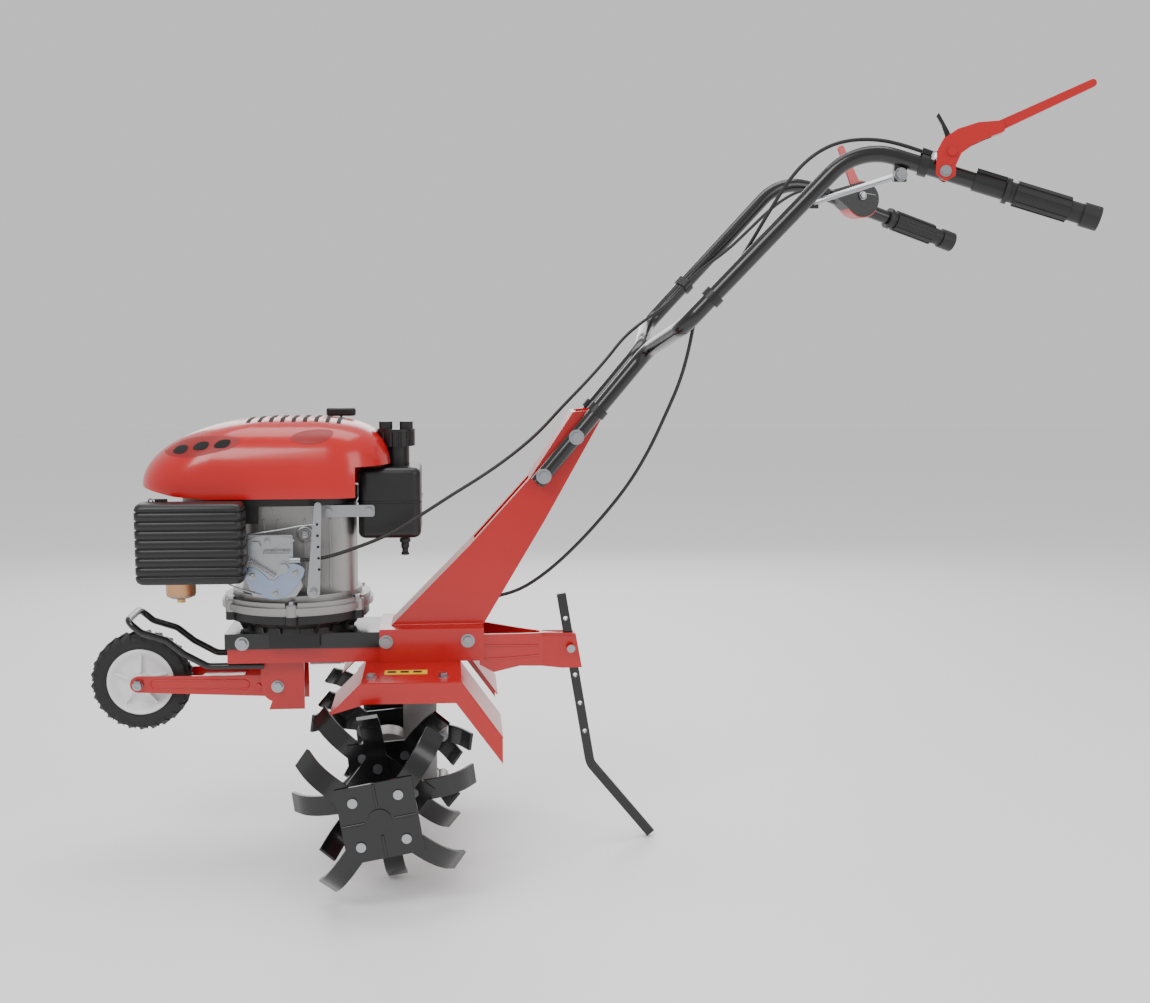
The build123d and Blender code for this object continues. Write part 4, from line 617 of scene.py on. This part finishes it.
# ---------------------------------------------------------------- engine details
engine_x = -129
mount_rib_count = 20
turned(
    "bowl_skin", mm(-284, -90, 396.5), (0, 0, 1),
    [(3, -3), (7, -2.4), (15, -1), (19.5, 1.5), (20.9, 5), (20.9, 24), (22, 25.5), (22, 29), (8, 29)],
    "copper_bowl", bevel=0, angle=40,
)
bolt_head("bowl_nut", mm(-284, -90, 393), (0, 0, -1), 6.5, "brass")
for k in range(mount_rib_count):
    a = 2 * pi * k / mount_rib_count + 0.08
    out = Vector((cos(a), sin(a), 0))
    tang = Vector((-sin(a), cos(a), 0))
    strip = [(74, 338), (84, 338), (88, 347), (104, 355), (104, 357.4), (80, 357.4)]
    loops = [
        [mm(engine_x, 0, h) + (out * r + tang * shift) / 1000 for r, h in strip]
        for shift in (-1.6, 1.6)
    ]
    verts, faces = rings(loops)
    mesh_piece(f"mount_rib_{k}", verts, faces, "black_plastic")
for k, x in enumerate((-170, -150, -112, -92, -76)):
    plate(
        f"case_rib_{k}", [(-2, 402), (2, 402), (1.4, 502), (-1.4, 502)], mm(x, -59.5, 0), (1, 0, 0),
        (0, 0, 1), 3.2, "cast_aluminium",
    )
turned(
    "case_boss", mm(-112, -59.5, 480), (0, -1, 0),
    [(0.5, 0), (13, 0), (12, 5), (9, 6), (8, 4.5), (0.5, 4.5)], "cast_aluminium",
)
bolt_head("case_plug", mm(-112, -64, 480), (0, -1, 0), 6.5)
fan = [
    (-196, 437), (-182, 441), (-168, 432), (-156, 418), (-140, 430), (-128, 446), (-112, 441),
    (-108, 432), (-120, 412), (-132, 399), (-150, 392), (-172, 398), (-188, 414),
]
plate("fan_plate", eased(fan, 1), mm(0, -106.1, 0), (1, 0, 0), (0, 0, 1), 1.4, "blued_zinc")
plate(
    "choke_plate",
    eased([(-192, 484), (-128, 484), (-120, 474), (-150, 470), (-158, 456), (-192, 452)], 1),
    mm(0, -106.1, 0), (1, 0, 0), (0, 0, 1), 1.2, "zinc_steel",
)
for k, (x, z, r) in enumerate(((-182, 428, 4.5), (-150, 402, 4.2), (-122, 431, 4.2), (-160, 477, 4))):
    bolt_head(f"plate_bolt_{k}", mm(x, -107.4, z), (0, -1, 0), r, washer=r + 2)
coil("governor_coil", mm(-186, -112, 452), mm(-150, -112, 428), 3, 13, 0.5, "zinc_steel")
coil("return_coil", mm(-128, -112, 462), mm(-166, -112, 462), 2.6, 14, 0.45, "zinc_steel")
wire(
    "governor_rod",
    [
        mm(-92, -111.5, 500), mm(-112, -111.5, 499), mm(-135, -111, 494), mm(-190, -108, 486),
        mm(-240, -100, 476),
    ],
    1.1, "zinc_steel", "governor",
)
wire(
    "throttle_link",
    [mm(-170, -109, 400), mm(-205, -108, 410), mm(-240, -104, 430), mm(-262, -100, 440)], 1.1,
    "zinc_steel",
)
bolt_head("governor_nut", mm(-97, -113.6, 404), (0, -1, 0), 5)
# painted shade: black discs stand in for the shade inside the governor arm's holes
for k in range(5):
    plate(
        f"governor_hole_{k}", rounded(4, 4, 1.9, -90.5 + 0.5 * k, 500 - 16 * k, 4), mm(0, -110.6, 0),
        (1, 0, 0), (0, 0, 1), 0.15, "hole_shade_black", "governor", bevel=0,
    )
seam = rounded(93.4, 127.4, 15, 9, 0)
plate("tank_seam", seam, mm(0, 0, 523.5), (1, 0, 0), (0, 1, 0), 2.6, "black_plastic", bevel=0.0008)
turned(
    "fuel_tap", mm(30, -30, 462), (0, 0, -1),
    [(2, 0), (6, 0), (6, 7), (4.5, 9), (4.5, 14), (6, 15), (6, 18), (2, 18)], "black_plastic",
)
wire(
    "filter_clip", [mm(-320, -119, 534), mm(-320, -121, 539), mm(-312, -126, 540), mm(-310, -130, 536)],
    1.2, "zinc_steel",
)
wire(
    "plug_lead",
    [mm(-332, 0, 460), mm(-345, 0, 470), mm(-340, 20, 500), mm(-300, 50, 515), mm(-250, 60, 522)], 3.2,
    "rubber",
)
turned(
    "plug_boot", mm(-318, 0, 460.5), (-1, 0, 0),
    [(3, 0), (8.8, 0), (9.4, 3), (9.2, 16), (7, 20), (3, 20)], "rubber",
)
for k in range(6):
    plate(
        f"muffler_louvre_{k}", rounded(60, 5, 2.4, -250, 445 + 9 * k, 4), mm(0, 106, 0), (1, 0, 0),
        (0, 0, 1), 2.0, "zinc_steel", bevel=0.0008,
    )

# ---------------------------------------------------------------- frame details
for side in (-1, 1):
    tag = "near" if side < 0 else "far"
    for name, a, b in (
        ("post_weld_" + tag, mm(10, side * 33.5, 339.5), mm(142, side * 33.5, 339.5)),
        ("socket_weld_" + tag, mm(232, side * 9.6, 318.5), mm(280, side * 9.6, 317.5)),
    ):
        length = (b - a).length * 1000
        profile = [(0.3, 0)] + [
            (2.0 + 0.45 * abs(sin(s * 0.9)), s)
            for s in range(1, int(length), 1)
        ] + [(0.3, length)]
        turned(name, a, b - a, profile, "red_paint", count=12, bevel=0, angle=80)
plate(
    "fender_label", rounded(60, 26, 2, 32, -132), mm(0, 0, 291.15), (1, 0, 0), (0, 1, 0), 0.25,
    "yellow_label", bevel=0,
)
for k in range(3):
    plate(
        f"label_mark_{k}", rounded(12, 12, 1.5, 12 + 18 * k, -130), mm(0, 0, 291.42), (1, 0, 0),
        (0, 1, 0), 0.08, "black_plastic", bevel=0,
    )
for side in (-1, 1):
    tag = "near" if side < 0 else "far"
    for row, (z0, z1) in enumerate(((311, 302), (291, 287))):
        wire(
            f"hitch_press_{tag}_{row}",
            [mm(140, side * 53.6, z0), mm(186, side * 32, z0 - 4), mm(226, side * 12.9, z1)], 1.3,
            "red_paint",
        )

# ---------------------------------------------------------------- handle details
lever_at = mm(748.72, -261.52, 977.65)
across, outward = Vector((0.9775, -0.2109, 0)), Vector((-0.2109, -0.9775, 0))
up = Vector((0, 0, 1))


def on_lever(a, b, c):
    """Place on the clutch lever: along, up and outward from its bolt, in millimetres."""
    return lever_at + (across * a + up * b + outward * c) / 1000


wire(
    "clutch_inner_wire", [on_lever(-28, 27, -2), on_lever(-18, 27, 0), on_lever(-11, 27, 0)], 0.9,
    "zinc_steel",
)
throttle_at = mm(755, 262.87, 976.0)
t_across, t_in = Vector((0.9775, 0.2109, 0)), Vector((0.2109, -0.9775, 0))
trim = []
for radius, order in ((29.6, 1), (27.5, -1)):
    arc = [(12.3 + radius * cos(radians(a)), 4.5 + radius * sin(radians(a))) for a in range(205, 326, 6)]
    trim += arc if order > 0 else list(reversed(arc))
plate("throttle_trim", trim, throttle_at + t_in * -0.007, t_across, up, 34, "red_plastic")
bolt_head("throttle_screw_head", throttle_at + (t_across * 9.8 + up * 10.2 + t_in * 31) / 1000, t_in, 5.6)
groove = [
    throttle_at + (t_across * -18 + up * 20 + t_in * 28.2) / 1000,
    throttle_at + (t_across * 34 + up * 12 + t_in * 28.2) / 1000,
]
wire("throttle_line", groove, 0.5, "zinc_steel", smooth=False)

# ---------------------------------------------------------------- tine plate pressings
tine_axle_z = 0.13
tine_tree = tree_of("outer_hubs")
for side in (-1, 1):
    tag = "near" if side < 0 else "far"
    for k in range(4):
        a = radians(100 + 90 * k)
        pts = []
        for radius in (20, 26, 34, 42, 50):
            start = Vector((cos(a) * radius / 1000, side * 0.4, tine_axle_z + sin(a) * radius / 1000))
            hit = tine_tree.ray_cast(start, Vector((0, -side, 0)))[0]
            if hit is not None:
                pts.append(hit + Vector((0, side * 0.0003, 0)))
        if len(pts) > 2:
            wire(f"plate_press_{tag}_{k}", pts, 2.0, "black_paint", "tines")

# ---------------------------------------------------------------- floor and light
floor_data = bpy.data.meshes.new("floor")
floor_data.from_pydata([(-9, -5, 0), (9, -5, 0), (9, 9, 0), (-9, 9, 0)], [], [(0, 1, 2, 3)])
floor = bpy.data.objects.new("floor", floor_data)
floor.location.z = min(cad_low.z, 0) - 0.0005
bpy.context.scene.collection.objects.link(floor)
floor_mat = material("floor", (0.97, 0.97, 0.97), 0.5, grain=40, bump=0.0, tint=0.0)
floor_data.materials.append(floor_mat)

world = bpy.data.worlds.new("studio")
bpy.context.scene.world = world
world.use_nodes = True
world.node_tree.nodes["Background"].inputs["Color"].default_value = (1, 1, 1, 1)
world.node_tree.nodes["Background"].inputs["Strength"].default_value = 0.75


def softbox(name, place, target, width, height, power):
    """Rectangular studio light facing a target."""
    data = bpy.data.lights.new(name, "AREA")
    data.shape = "RECTANGLE"
    data.size = width
    data.size_y = height
    data.energy = power
    lamp = bpy.data.objects.new(name, data)
    lamp.location = place
    lamp.rotation_euler = (Vector(target) - Vector(place)).to_track_quat("-Z", "Y").to_euler()
    bpy.context.scene.collection.objects.link(lamp)


softbox("key", (-1.2, -2.2, 2.6), (0, 0, 0.4), 1.6, 1.2, 45)
softbox("fill", (2.2, -1.8, 1.6), (0.3, 0, 0.5), 1.2, 1.6, 18)
softbox("top", (0.2, 0.4, 3.0), (0.2, 0, 0.4), 2.2, 1.6, 40)
softbox("back", (0.2, 2.6, 1.4), (0.2, 0, 0.5), 2.4, 1.2, 25)
